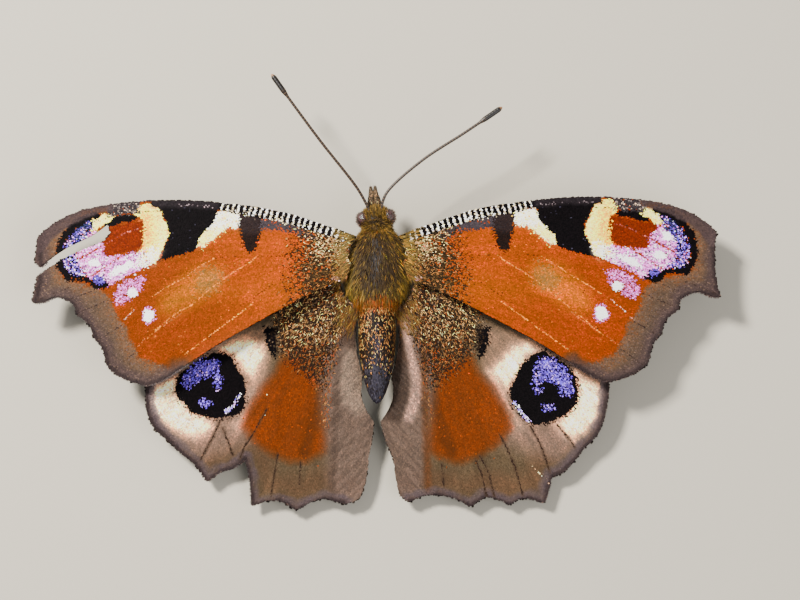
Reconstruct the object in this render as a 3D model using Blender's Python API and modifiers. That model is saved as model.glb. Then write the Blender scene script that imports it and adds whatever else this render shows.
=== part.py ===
# A life-size peacock butterfly basking with its wings spread, as a still museum model.
# The head looks along +Y, the butterfly's right side is +X, and its feet stand on z = 0.
# All lengths are metres: the constants are written in millimetres times MM.

import math

import bmesh
import bpy
from mathutils import Matrix, Vector
from mathutils.geometry import delaunay_2d_cdt

MM = 0.001
NAME = "peacock_butterfly"
GAP = 0.3 * MM
WELD = 0.02 * MM
OUTLINE_WELD = 0.05 * MM
TUBE_FACETS = 2

# Body: centres and half sizes of the furred thorax, the head and the abdomen.
THORAX_CENTRE = Vector((0.0, 2.0, 4.4)) * MM
THORAX_HALF = Vector((3.0, 3.9, 2.35)) * MM
SHOULDER_FULLNESS = 0.16
THORAX_MESH = (28, 18)
ABDOMEN_FRONT = -0.9 * MM
ABDOMEN_TIP = -10.4 * MM
ABDOMEN_HALF_WIDTH = 1.85 * MM
ABDOMEN_HALF_HEIGHT = 1.6 * MM
ABDOMEN_FRONT_Z = 4.4 * MM
ABDOMEN_DROOP = 0.8 * MM
ABDOMEN_DROOP_CURVE = 1.5
ABDOMEN_TAPER = 0.12
ABDOMEN_RINGS = 7
ABDOMEN_MESH = (20, 26)
RING_DEPTH = 0.05 * MM
HEAD_CENTRE = Vector((0.0, 6.75, 4.5)) * MM
HEAD_HALF = Vector((1.45, 1.15, 1.25)) * MM
HEAD_MESH = (24, 16)
HEAD_TURN = math.radians(6.0)
NECK = Vector((0.0, 5.6, 4.5)) * MM
EYE_CENTRE = Vector((1.15, 6.75, 4.5)) * MM
EYE_HALF = Vector((0.72, 0.78, 0.88)) * MM
EYE_MESH = (16, 10)
PALP_ROOT = Vector((0.51, 7.9, 4.15)) * MM
PALP_LENGTH = 2.2 * MM
PALP_HALF_WIDTH = 0.33 * MM
PALP_HALF_HEIGHT = 0.55 * MM
PALP_RISE = 0.5 * MM
PALP_CLOSING = 0.2 * MM
PALP_ROOT_FULLNESS = 1.1
PALP_NARROWING = 0.55
PALP_MESH = (12, 10)
TONGUE_RADIUS = 0.55 * MM
TONGUE_WIDTH = 0.5 * MM
TONGUE_CENTRE = Vector((0.0, 7.0, 2.35)) * MM
TONGUE_SIDES = 20

# Feelers: routes of the shaft from the head to the tip of the club, as x, y, z.
SHAFT_RADIUS = 0.25 * MM
CLUB_RADIUS = 0.34 * MM
CLUB_LENGTH = 2.9 * MM
CLUB_SWELLING = 1.05 * MM
FEELER_STEP = 1.2 * MM
LEFT_FEELER = [
    (-0.70, 7.3, 5.2), (-2.0, 9.55, 5.7), (-5.24, 13.7, 6.0), (-8.1, 17.6, 6.2), (-9.8, 20.03, 6.2),
]
RIGHT_FEELER = [
    (0.30, 7.3, 5.2), (1.1, 9.2, 5.6), (4.29, 12.0, 5.9), (8.16, 14.5, 6.2), (11.55, 16.87, 6.2),
]

# Legs: joints from the chest to the claws, as x, y, z on the right side.
# The tarsus lies on the ground, and everything below z = 0 is cut to a flat sole.
LEG_RADIUS = 0.28 * MM
MID_LEG = [(1.1, 2.2, 2.6), (4.6, 3.9, 2.9), (6.6, 5.3, 0.35), (7.2, 5.5, 0.21), (9.9, 6.2, 0.21)]
HIND_LEG = [(1.1, 0.3, 2.6), (4.4, -2.6, 2.7), (6.6, -5.8, 0.35), (7.0, -6.4, 0.21), (8.5, -9.0, 0.21)]
FORE_LEG = [(0.75, 4.1, 2.7), (1.2, 5.5, 1.9), (1.05, 6.7, 2.2), (0.95, 7.4, 2.45)]

# Wings: thickness of membrane and veins, and spacing of the points of the mesh.
MEMBRANE = 0.5 * MM
VEIN_THICKNESS = 0.82 * MM
VEIN_HALF_WIDTH = 0.24 * MM
OUTLINE_STEP = 0.5 * MM
VEIN_STEP = 1.7 * MM
FIELD_STEP = 2.1 * MM
FIELD_CLEARANCE = 0.7 * MM
FIELD_ROW = math.sin(math.radians(60.0)) * FIELD_STEP
FORE_PIVOT = Vector((2.9, 2.6)) * MM
FORE_SWEEP = {"right": 0.0, "left": math.radians(-1.1)}

# Heights of the wings above the ground, from the root to their edges.
WING_ROOT_X = 3.0 * MM
FORE_ROOT_Z = 6.0 * MM
FORE_SPAN = 28.0 * MM
FORE_CHORD = 11.0 * MM
FORE_DROP = 2.35 * MM
FORE_DROP_CURVE = 1.15
FORE_BACK_DROP = 0.95 * MM
FORE_BACK_CURVE = 1.5
FORE_ARCH = 0.35 * MM
HIND_ROOT_Z = 5.05 * MM
HIND_EDGE_Z = 1.15 * MM
HIND_FRONT_Y = 1.0 * MM
HIND_EDGE_Y = -20.0 * MM
HIND_FALL_CURVE = 1.3
HIND_SPAN = 18.0 * MM
HIND_DROP = 0.2 * MM

# Outline of the right forewing, seen from above: runs of x, y that meet in corners.
FORE_COSTA = [
    (1.2, 4.3), (3.04, 5.2), (4.9, 5.87), (8.56, 7.13), (12.5, 7.9), (16.8, 8.45), (20.5, 8.62),
    (24.0, 8.45), (27.0, 8.0), (29.2, 7.15), (30.6, 6.2), (31.2, 5.4),
]
FORE_TIP_EDGE = [(31.2, 5.4), (31.0, 4.4), (30.95, 3.2), (31.0, 1.6), (31.2, 0.4), (31.46, -0.4)]
FORE_BAY = [(31.46, -0.4), (30.7, -0.4), (29.6, 0.05), (28.6, -0.2), (27.75, -0.75), (27.5, -1.65)]
FORE_OUTER = [
    (27.5, -1.65), (26.6, -2.35), (26.1, -3.1), (25.85, -3.9), (25.15, -4.8), (24.9, -5.6), (24.65, -6.5),
    (23.7, -7.35), (22.4, -7.95), (21.2, -8.3),
]
FORE_INNER = [(21.2, -8.3), (20.0, -8.05), (17.8, -6.8), (15.0, -5.1), (12.2, -3.6), (6.7, -0.8), (1.2, 1.6)]
# The left tip is torn: a wedge runs in from the outer edge, with the tip above it.
TORN_TIP = [(31.2, 5.4), (31.3, 4.3), (31.4, 3.3), (31.0, 2.9)]
TEAR_UPPER = [(31.0, 2.9), (29.8, 3.8), (28.4, 4.65), (27.1, 5.2), (25.9, 5.8), (24.7, 6.65)]
TEAR_LOWER = [(24.7, 6.65), (24.4, 5.8), (25.0, 5.0), (26.6, 4.4), (28.6, 3.6), (30.0, 2.8), (31.25, 1.9)]
TORN_EDGE = [(31.25, 1.9), (31.4, 0.8), (31.75, -0.3)]
TORN_TAIL = [(31.75, -0.3), (31.3, -0.42), (30.7, -0.4)]
TORN_BAY = [(30.7, -0.4), (29.6, 0.05), (28.6, -0.2), (27.75, -0.75), (27.5, -1.65)]

# Outline of the hindwings: a shared front edge, own outer edges and a shared inner edge.
HIND_COSTA = [(1.2, 0.3), (4.5, 1.0), (9.0, 0.4), (15.0, -1.7), (19.3, -4.3), (21.0, -6.6), (21.1, -9.4)]
HIND_OUTER = {
    "right": [
        [
            (21.1, -9.4), (20.8, -11.2), (20.15, -12.85), (18.95, -14.1), (17.95, -15.35), (17.0, -16.3),
            (15.9, -16.75),
        ],
        [(15.9, -16.75), (15.7, -17.8), (15.27, -19.1)],
        [(15.27, -19.1), (13.9, -18.7), (12.9, -18.75), (12.14, -19.3)],
        [(12.14, -19.3), (11.1, -18.75), (9.8, -18.6), (8.56, -19.4)],
        [(8.56, -19.4), (7.2, -18.7), (5.6, -18.35), (4.2, -18.45), (3.04, -18.95)],
    ],
    "left": [
        [
            (21.1, -9.4), (21.0, -10.9), (20.3, -12.4), (19.0, -13.5), (17.9, -14.6), (16.7, -15.5),
            (15.5, -17.15),
        ],
        [(15.5, -17.15), (14.4, -16.3), (13.2, -15.95), (12.05, -15.1)],
        [(12.05, -15.1), (11.65, -16.6), (11.4, -19.4)],
        [(11.4, -19.4), (10.4, -18.95), (8.9, -18.9), (7.36, -19.75)],
        [(7.36, -19.75), (6.2, -19.05), (4.8, -18.7), (3.04, -19.15)],
    ],
}
HIND_BACK = {
    "right": [(3.04, -18.95), (2.2, -18.5), (1.75, -17.0), (1.5, -15.1), (0.8, -13.4), (0.35, -11.8)],
    "left": [(3.04, -19.15), (1.7, -18.7), (1.0, -16.8), (0.8, -14.9), (0.5, -13.4), (0.35, -11.8)],
}
HIND_INNER = [(0.35, -11.8), (1.1, -10.6), (1.5, -9.2), (1.3, -7.0), (1.1, -4.0), (1.2, -1.2)]

# Main veins of the right side, as x, y from the root to the edge.
FORE_VEINS = [
    [(2.0, 4.0), (6.0, 5.6), (11.0, 7.0), (16.6, 8.2)],
    [(2.0, 3.6), (6.0, 4.9), (10.5, 5.9), (15.0, 6.7), (20.0, 7.15), (25.0, 7.0), (29.0, 6.6), (30.6, 5.7)],
    [(12.5, 6.3), (17.0, 7.6), (20.6, 8.3)],
    [(20.0, 7.15), (23.5, 7.7), (26.2, 7.85)],
    [(15.0, 6.7), (15.6, 5.4), (15.3, 3.9), (14.2, 3.2)],
    [(15.4, 6.0), (20.0, 5.0), (25.0, 3.9), (30.5, 3.1)],
    [(15.6, 4.8), (20.0, 3.3), (25.0, 1.4), (30.6, -0.1)],
    [(2.0, 3.1), (6.0, 3.3), (10.0, 3.2), (14.2, 3.2), (19.0, 1.6), (23.5, -0.2), (27.2, -1.6)],
    [(12.6, 3.2), (16.0, 1.9), (19.6, -0.4), (23.0, -2.7), (25.8, -4.0)],
    [(9.4, 3.2), (12.6, 1.6), (15.9, -0.9), (20.0, -4.4), (24.2, -6.8)],
    [(2.0, 2.2), (6.0, 1.2), (11.0, -1.1), (16.0, -4.2), (21.4, -7.7)],
]
HIND_VEINS = [
    [(2.0, -0.2), (6.0, 0.1), (11.0, -0.6), (16.0, -3.0), (20.4, -7.2)],
    [(2.0, -0.6), (6.0, -1.2), (9.5, -2.4), (14.0, -5.6), (17.5, -8.6), (20.6, -11.4)],
    [(9.5, -2.4), (12.6, -6.2), (15.6, -10.2), (18.6, -14.2)],
    [(9.5, -2.4), (10.2, -4.0), (12.0, -8.2), (14.0, -12.2), (15.8, -16.4)],
    [(9.4, -4.2), (10.7, -9.0), (12.0, -14.0), (13.1, -18.5)],
    [(7.8, -4.6), (8.8, -9.0), (9.5, -14.0), (10.0, -18.4)],
    [(2.0, -1.0), (5.4, -3.0), (7.8, -4.6), (9.4, -4.2), (10.2, -4.0)],
    [(5.4, -3.0), (6.2, -8.0), (6.6, -13.0), (6.8, -18.2)],
    [(2.6, -2.0), (3.6, -6.0), (4.1, -11.0), (4.2, -18.2)],
]

# Colours of the parts, as linear red, green, blue.
BROWN_FUR = (0.085, 0.055, 0.028)
DARK_SHELL = (0.02, 0.014, 0.01)
EYE_BROWN = (0.03, 0.015, 0.01)
RUST = (0.42, 0.075, 0.012)
PALE_BROWN = (0.22, 0.16, 0.10)

# Roughness of the same parts.
FUR_ROUGHNESS = 0.8
SHELL_ROUGHNESS = 0.5
EYE_ROUGHNESS = 0.25
WING_ROUGHNESS = 0.6


def clear_scene():
    for item in list(bpy.data.objects):
        bpy.data.objects.remove(item, do_unlink=True)


def new_collection(name):
    collection = bpy.data.collections.new(name)
    bpy.context.scene.collection.children.link(collection)
    return collection


def surface(name, colour, roughness):
    """One material with the part's colour and roughness."""
    material = bpy.data.materials.new(name)
    material.use_nodes = True
    shader = material.node_tree.nodes["Principled BSDF"]
    shader.inputs["Base Color"].default_value = (*colour, 1.0)
    shader.inputs["Roughness"].default_value = roughness
    shader.inputs["Metallic"].default_value = 0.0
    return material


def add_object(name, mesh, collection):
    item = bpy.data.objects.new(name, mesh)
    collection.objects.link(item)
    return item


def finish_part(item, colour, roughness):
    item.data.materials.clear()
    item.data.materials.append(surface(item.name + "_colour", colour, roughness))
    return item


def curve_through(points, step):
    """Points about step apart along a smooth curve that passes through the given points."""
    found = []
    last = len(points) - 1
    for i in range(last):
        before = points[max(i - 1, 0)]
        start = points[i]
        end = points[i + 1]
        after = points[min(i + 2, last)]
        count = max(1, round((end - start).length / step))
        for k in range(count):
            t = k / count
            bend = (after - before - 3.0 * (end - start)) * t
            found.append(0.5 * (2.0 * start + ((end - before) + (2.0 * before - 5.0 * start + 4.0 * end
                         - after + bend) * t) * t))
    found.append(points[last].copy())
    return found


def as_points(rows):
    return [Vector(row) * MM for row in rows]


def grown_sphere(centre, half, fineness, growth=0.0):
    """A bmesh ellipsoid whose poles lie along Y, grown outward by growth."""
    segments, rings = fineness
    ball = bmesh.new()
    bmesh.ops.create_uvsphere(ball, u_segments=segments, v_segments=rings, radius=1.0)
    bmesh.ops.rotate(ball, verts=ball.verts, matrix=Matrix.Rotation(math.radians(90.0), 3, "X"))
    size = half + Vector((growth, growth, growth))
    for vert in ball.verts:
        vert.co = centre + Vector((vert.co.x * size.x, vert.co.y * size.y, vert.co.z * size.z))
    return ball


def mesh_from(shape, name):
    mesh = bpy.data.meshes.new(name)
    bmesh.ops.recalc_face_normals(shape, faces=shape.faces)
    shape.to_mesh(mesh)
    shape.free()
    mesh.shade_smooth()
    return mesh


def thorax_shape(growth):
    """The chest, a barrel that is fuller than an ellipsoid at its shoulders."""
    ball = grown_sphere(Vector(), THORAX_HALF, THORAX_MESH, growth)
    reach = THORAX_HALF.y + growth
    for vert in ball.verts:
        along = min(1.0, abs(vert.co.y) / reach)
        fuller = 1.0 + SHOULDER_FULLNESS * math.sin(math.pi * along)
        vert.co.x *= fuller
        vert.co.z *= fuller
        vert.co += THORAX_CENTRE
    return ball


def abdomen_shape(growth=0.0):
    """A spindle with shallow grooves between its rings, drooping to the tip."""
    length = ABDOMEN_FRONT - ABDOMEN_TIP
    middle = Vector((0.0, ABDOMEN_TIP + 0.5 * length, 0.0))
    half = Vector((ABDOMEN_HALF_WIDTH, 0.5 * length, ABDOMEN_HALF_HEIGHT))
    ball = grown_sphere(middle, half, ABDOMEN_MESH, growth)
    for vert in ball.verts:
        along = min(1.0, max(0.0, (ABDOMEN_FRONT - vert.co.y) / length))
        fuller = 1.0 + ABDOMEN_TAPER * math.cos(math.pi * along)
        groove = RING_DEPTH * (0.5 + 0.5 * math.cos(2.0 * math.pi * ABDOMEN_RINGS * along))
        spread = fuller * (1.0 - groove / ABDOMEN_HALF_WIDTH)
        vert.co.x *= spread
        vert.co.z = vert.co.z * spread + ABDOMEN_FRONT_Z - ABDOMEN_DROOP * along ** ABDOMEN_DROOP_CURVE
    return ball


def turn_head(point):
    turn = Matrix.Rotation(HEAD_TURN, 4, "Z")
    return NECK + turn @ (point - NECK)


def turn_shape(shape):
    for vert in shape.verts:
        vert.co = turn_head(vert.co)
    return shape


def mirrored(centre, side):
    return Vector((centre.x * side, centre.y, centre.z))


def head_shape(growth=0.0):
    return turn_shape(grown_sphere(HEAD_CENTRE, HEAD_HALF, HEAD_MESH, growth))


def eye_shape(side, growth=0.0):
    return turn_shape(grown_sphere(mirrored(EYE_CENTRE, side), EYE_HALF, EYE_MESH, growth))


def palp_shape(side):
    """A flat, furred lobe that rises and closes in towards its pointed tip."""
    half = Vector((PALP_HALF_WIDTH, 0.5 * PALP_LENGTH, PALP_HALF_HEIGHT))
    ball = grown_sphere(Vector(), half, PALP_MESH)
    for vert in ball.verts:
        along = 0.5 + vert.co.y / PALP_LENGTH
        taper = PALP_ROOT_FULLNESS - PALP_NARROWING * along
        vert.co.x = vert.co.x * taper - PALP_CLOSING * along
        vert.co.z = vert.co.z * taper + PALP_RISE * along ** 2
        vert.co.y += 0.5 * PALP_LENGTH
        vert.co = mirrored(PALP_ROOT + vert.co, side)
    return turn_shape(ball)


def tongue_shape():
    """The coiled tongue as one disc standing below the head."""
    disc = bmesh.new()
    bmesh.ops.create_cone(disc, cap_ends=True, segments=TONGUE_SIDES, radius1=TONGUE_RADIUS,
                          radius2=TONGUE_RADIUS, depth=TONGUE_WIDTH)
    bmesh.ops.rotate(disc, verts=disc.verts, matrix=Matrix.Rotation(math.radians(90.0), 3, "Y"))
    bmesh.ops.translate(disc, verts=disc.verts, vec=TONGUE_CENTRE)
    return turn_shape(disc)


def tube_mesh(name, points, radii):
    """A closed tube along the points, made from a bevelled curve and welded at its caps."""
    route = bpy.data.curves.new(name, "CURVE")
    route.dimensions = "3D"
    route.bevel_depth = 1.0
    route.bevel_resolution = TUBE_FACETS
    route.use_fill_caps = True
    line = route.splines.new("POLY")
    line.points.add(len(points) - 1)
    for spot, point, radius in zip(line.points, points, radii):
        spot.co = (*point, 1.0)
        spot.radius = radius
    guide = bpy.data.objects.new(name, route)
    bpy.context.scene.collection.objects.link(guide)
    bpy.context.view_layer.update()
    ready = guide.evaluated_get(bpy.context.evaluated_depsgraph_get())
    mesh = bpy.data.meshes.new_from_object(ready)
    bpy.data.objects.remove(guide, do_unlink=True)
    shape = bmesh.new()
    shape.from_mesh(mesh)
    bmesh.ops.remove_doubles(shape, verts=shape.verts, dist=WELD)
    return shape


def cut_with(item, cutter):
    cut = item.modifiers.new("clear_of_" + cutter.name, "BOOLEAN")
    cut.operation = "DIFFERENCE"
    cut.object = cutter
    return item


def add_cutter(name, shape, cutters):
    cutter = add_object(name, mesh_from(shape, name), cutters)
    cutter.hide_render = True
    cutter.display_type = "WIRE"
    return cutter


def add_feeler(name, rows, parts, head_cutter):
    """A thin shaft from the head that swells into a club just before its tip."""
    route = curve_through(as_points(rows), FEELER_STEP)
    travelled = [0.0]
    for start, end in zip(route, route[1:]):
        travelled.append(travelled[-1] + (end - start).length)
    radii = []
    for distance in travelled:
        into_club = distance - travelled[-1] + CLUB_LENGTH
        club = min(1.0, max(0.0, into_club / CLUB_SWELLING))
        radii.append(SHAFT_RADIUS + (CLUB_RADIUS - SHAFT_RADIUS) * club)
    radii[-1] = 0.5 * SHAFT_RADIUS
    feeler = add_object(name, mesh_from(tube_mesh(name, route, radii), name), parts)
    cut_with(feeler, head_cutter)
    return finish_part(feeler, DARK_SHELL, SHELL_ROUGHNESS)


def add_leg(name, rows, side, parts, chest_cutter):
    """A jointed leg whose sole is cut flat at the ground."""
    joints = [mirrored(point, side) for point in as_points(rows)]
    radii = [LEG_RADIUS] * len(joints)
    shape = tube_mesh(name, joints, radii)
    floor = bmesh.ops.bisect_plane(shape, geom=shape.verts[:] + shape.edges[:] + shape.faces[:],
                                   plane_co=(0.0, 0.0, 0.0), plane_no=(0.0, 0.0, -1.0), clear_outer=True)
    rim = [part for part in floor["geom_cut"] if isinstance(part, bmesh.types.BMEdge)]
    if rim:
        bmesh.ops.triangle_fill(shape, edges=rim, use_beauty=True)
    leg = add_object(name, mesh_from(shape, name), parts)
    cut_with(leg, chest_cutter)
    return finish_part(leg, DARK_SHELL, SHELL_ROUGHNESS)


def forewing_height(x, y):
    """Height of the forewing's middle surface: it droops outward and back, with a low arch."""
    out = max(0.0, (abs(x) - WING_ROOT_X) / FORE_SPAN)
    back = max(0.0, (FORE_PIVOT.y - y) / FORE_CHORD)
    arch = FORE_ARCH * math.sin(math.pi * min(1.0, out)) * max(0.0, 1.0 - back)
    droop = FORE_DROP * out ** FORE_DROP_CURVE + FORE_BACK_DROP * out * back ** FORE_BACK_CURVE
    return FORE_ROOT_Z - droop + arch


def hindwing_height(x, y):
    """Height of the hindwing's middle surface: it falls from the root to the hind edge."""
    rise = max(0.0, (y - HIND_EDGE_Y) / (HIND_FRONT_Y - HIND_EDGE_Y))
    out = max(0.0, (abs(x) - WING_ROOT_X) / HIND_SPAN)
    return HIND_EDGE_Z + (HIND_ROOT_Z - HIND_EDGE_Z) * rise ** HIND_FALL_CURVE - HIND_DROP * out


def inside(point, outline):
    """Whether a point is within the outline, by counting the edges that a ray crosses."""
    crossings = False
    for a, b in zip(outline, outline[1:] + outline[:1]):
        if (a.y > point.y) != (b.y > point.y):
            if point.x < (b.x - a.x) * (point.y - a.y) / (b.y - a.y) + a.x:
                crossings = not crossings
    return crossings


def distance_to(point, line):
    """Shortest distance from a point to a line of points."""
    best = math.inf
    for a, b in zip(line, line[1:]):
        run = b - a
        t = min(1.0, max(0.0, (point - a).dot(run) / max(run.length_squared, 1e-18)))
        best = min(best, (point - (a + run * t)).length)
    return best


def side_line(line, offset):
    """A line of points moved sideways by offset."""
    moved = []
    for i, point in enumerate(line):
        run = (line[min(i + 1, len(line) - 1)] - line[max(i - 1, 0)]).normalized()
        moved.append(point + Vector((-run.y, run.x)) * offset)
    return moved


def field_points(outline, veins):
    """Even points over the membrane, clear of its edge and veins."""
    xs = [point.x for point in outline]
    ys = [point.y for point in outline]
    found = []
    row = 0
    y = min(ys)
    while y < max(ys):
        x = min(xs) + (0.5 * FIELD_STEP if row % 2 else 0.0)
        while x < max(xs):
            point = Vector((x, y))
            if inside(point, outline) and distance_to(point, outline + outline[:1]) > FIELD_CLEARANCE:
                if min(distance_to(point, vein) for vein in veins) > FIELD_CLEARANCE:
                    found.append(point)
            x += FIELD_STEP
        y += FIELD_ROW
        row += 1
    return found


def joined_runs(runs):
    """One closed outline from runs that share their corner points."""
    outline = []
    for run in runs:
        outline.extend(curve_through(as_points(run), OUTLINE_STEP)[:-1])
    outline.append(as_points(runs[-1])[-1])
    return outline


def turned(points, pivot, angle):
    turn = Matrix.Rotation(angle, 2)
    return [pivot + turn @ (point - pivot) for point in points]


def middle_of(points):
    return sum(points, Vector((0.0, 0.0))) / len(points)


def wing_mesh(name, outline, veins, height, side):
    """An open sheet of triangles over the outline, with lines of points along the veins."""
    points = list(outline)
    edges = [(i, (i + 1) % len(outline)) for i in range(len(outline))]
    for vein in veins:
        for offset in (0.0, VEIN_HALF_WIDTH, -VEIN_HALF_WIDTH):
            line = [point for point in side_line(vein, offset) if inside(point, outline)]
            first = len(points)
            points.extend(line)
            edges.extend((first + i, first + i + 1) for i in range(len(line) - 1))
    points.extend(field_points(outline, veins))
    flat, _, found, _, _, _ = delaunay_2d_cdt(points, edges, [], 0, OUTLINE_WELD, False)
    faces = [face for face in found if inside(middle_of([flat[i] for i in face]), outline)]
    mesh = bpy.data.meshes.new(name)
    rows = [(side * point.x, point.y, height(point.x, point.y)) for point in flat]
    mesh.from_pydata(rows, [], [face if side > 0 else face[::-1] for face in faces])
    mesh.update()
    return mesh, flat


def add_wing(name, outline, veins, height, side, parts, cutters, colour):
    mesh, flat = wing_mesh(name, outline, veins, height, side)
    wing = add_object(name, mesh, parts)
    group = wing.vertex_groups.new(name="thickness")
    thin = MEMBRANE / VEIN_THICKNESS
    for i, point in enumerate(flat):
        near = min(distance_to(point, vein) for vein in veins)
        raised = max(0.0, 1.0 - near / VEIN_HALF_WIDTH)
        group.add([i], thin + (1.0 - thin) * raised, "REPLACE")
    solid = wing.modifiers.new("thickness", "SOLIDIFY")
    solid.thickness = VEIN_THICKNESS
    solid.offset = 0.0
    solid.vertex_group = "thickness"
    for cutter in cutters:
        cut_with(wing, cutter)
    return finish_part(wing, colour, WING_ROUGHNESS)


def add_forewings(parts, chest_cutter):
    whole = [FORE_COSTA, FORE_TIP_EDGE, FORE_BAY, FORE_OUTER, FORE_INNER]
    torn_end = [TORN_TIP, TEAR_UPPER, TEAR_LOWER, TORN_EDGE, TORN_TAIL, TORN_BAY]
    torn = [FORE_COSTA, *torn_end, FORE_OUTER, FORE_INNER]
    veins = [curve_through(as_points(vein), VEIN_STEP) for vein in FORE_VEINS]
    for word, side, runs in (("right", 1.0, whole), ("left", -1.0, torn)):
        sweep = FORE_SWEEP[word]
        outline = turned(joined_runs(runs), FORE_PIVOT, sweep)
        lines = [turned(vein, FORE_PIVOT, sweep) for vein in veins]
        add_wing("forewing_" + word, outline, lines, forewing_height, side, parts, [chest_cutter], RUST)


def add_hindwings(parts, body_cutters):
    veins = [curve_through(as_points(vein), VEIN_STEP) for vein in HIND_VEINS]
    for word, side in (("right", 1.0), ("left", -1.0)):
        outline = joined_runs([HIND_COSTA, *HIND_OUTER[word], HIND_BACK[word], HIND_INNER])
        add_wing("hindwing_" + word, outline, veins, hindwing_height, side, parts, body_cutters, PALE_BROWN)


def add_head(parts, cutters, chest_cutter):
    """The head with its eyes, palps and coiled tongue, each clear of the next."""
    head = add_object("head", mesh_from(head_shape(), "head"), parts)
    head_cutter = add_cutter("head_clearance", head_shape(GAP), cutters)
    cut_with(head, chest_cutter)
    finish_part(head, BROWN_FUR, FUR_ROUGHNESS)
    for word, side in (("left", -1.0), ("right", 1.0)):
        eye = add_object("eye_" + word, mesh_from(eye_shape(side), "eye_" + word), parts)
        finish_part(eye, EYE_BROWN, EYE_ROUGHNESS)
        cut_with(head, add_cutter("eye_clearance_" + word, eye_shape(side, GAP), cutters))
        palp = add_object("palp_" + word, mesh_from(palp_shape(side), "palp_" + word), parts)
        cut_with(palp, head_cutter)
        finish_part(palp, BROWN_FUR, FUR_ROUGHNESS)
    tongue = add_object("proboscis", mesh_from(tongue_shape(), "proboscis"), parts)
    finish_part(tongue, DARK_SHELL, SHELL_ROUGHNESS)
    add_feeler("antenna_left", LEFT_FEELER, parts, head_cutter)
    add_feeler("antenna_right", RIGHT_FEELER, parts, head_cutter)


def build():
    clear_scene()
    parts = new_collection(NAME)
    cutters = new_collection("cutters")
    thorax = add_object("thorax", mesh_from(thorax_shape(0.0), "thorax"), parts)
    finish_part(thorax, BROWN_FUR, FUR_ROUGHNESS)
    chest_cutter = add_cutter("chest_clearance", thorax_shape(GAP), cutters)
    abdomen = add_object("abdomen", mesh_from(abdomen_shape(), "abdomen"), parts)
    belly_cutter = add_cutter("abdomen_clearance", abdomen_shape(GAP), cutters)
    cut_with(abdomen, chest_cutter)
    finish_part(abdomen, BROWN_FUR, FUR_ROUGHNESS)
    add_head(parts, cutters, chest_cutter)
    add_forewings(parts, chest_cutter)
    add_hindwings(parts, [chest_cutter, belly_cutter])
    for word, side in (("left", -1.0), ("right", 1.0)):
        add_leg("foreleg_" + word, FORE_LEG, side, parts, chest_cutter)
        add_leg("midleg_" + word, MID_LEG, side, parts, chest_cutter)
        add_leg("hindleg_" + word, HIND_LEG, side, parts, chest_cutter)


build()
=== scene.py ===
# %% [markdown]
# # A peacock butterfly, scale by scale
# The butterfly basks with its four wings spread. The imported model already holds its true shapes:
# head, chest, abdomen, legs, feelers and four veined wings. This lesson dresses those shapes.
# A real wing gets its colours from tens of thousands of tiny scales that lie like roof tiles, each
# of one plain colour. We build it the same way, so the soft borders of the pattern come by themselves.

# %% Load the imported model
import math

import bmesh
import bpy
import numpy as np
from mathutils import Euler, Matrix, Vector
from mathutils.bvhtree import BVHTree
from mathutils.geometry import delaunay_2d_cdt


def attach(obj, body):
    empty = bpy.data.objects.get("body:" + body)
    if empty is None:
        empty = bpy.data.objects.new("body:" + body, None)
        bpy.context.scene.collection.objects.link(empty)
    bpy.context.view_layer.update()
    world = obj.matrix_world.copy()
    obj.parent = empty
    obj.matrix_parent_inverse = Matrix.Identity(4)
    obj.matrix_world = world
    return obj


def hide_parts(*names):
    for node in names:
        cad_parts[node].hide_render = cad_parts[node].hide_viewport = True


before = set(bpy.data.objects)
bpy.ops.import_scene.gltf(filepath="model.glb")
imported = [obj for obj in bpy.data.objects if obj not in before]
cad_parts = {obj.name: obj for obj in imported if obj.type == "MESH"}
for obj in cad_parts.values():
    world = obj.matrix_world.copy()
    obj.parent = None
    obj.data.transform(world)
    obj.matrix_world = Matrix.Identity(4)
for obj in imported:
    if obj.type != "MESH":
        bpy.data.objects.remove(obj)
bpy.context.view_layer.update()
MM = 0.001
BODY = "root"

# %% [markdown]
# ## The camera
# The photograph looks almost straight down on the basking butterfly, from a little behind it. A long
# lens from a hand's breadth above keeps the wings free of distortion, as in a close-up.

# %% Camera
PHOTO_WIDTH = 73.6 * MM
CAMERA_LENS = 100.0
CAMERA_SENSOR = 36.0
CAMERA_RISE = math.radians(80.0)
CAMERA_AIM = Vector((2.1, -0.84, 4.0)) * MM


def add_camera():
    """A camera behind and above the butterfly that frames the photograph's width at wing height."""
    data = bpy.data.cameras.new("camera")
    data.lens = CAMERA_LENS
    data.sensor_width = CAMERA_SENSOR
    data.clip_start = 0.01
    camera = bpy.data.objects.new("camera", data)
    bpy.context.scene.collection.objects.link(camera)
    distance = PHOTO_WIDTH * CAMERA_LENS / CAMERA_SENSOR
    away = Vector((0.0, -math.cos(CAMERA_RISE), math.sin(CAMERA_RISE)))
    camera.location = CAMERA_AIM + away * distance
    camera.rotation_euler = Euler((math.pi / 2 - CAMERA_RISE, 0.0, 0.0))
    bpy.context.scene.camera = camera
    return camera, distance


camera, camera_distance = add_camera()
print("camera stands", round(camera_distance / MM), "mm from the wings")

# %% [markdown]
# ## Nodes as plain Python
# Materials and Geometry Nodes are both graphs. One small class adds nodes to either kind, and another
# wraps a socket so that ordinary arithmetic such as `1 - mask * 0.4` adds the Math nodes for us.


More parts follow.
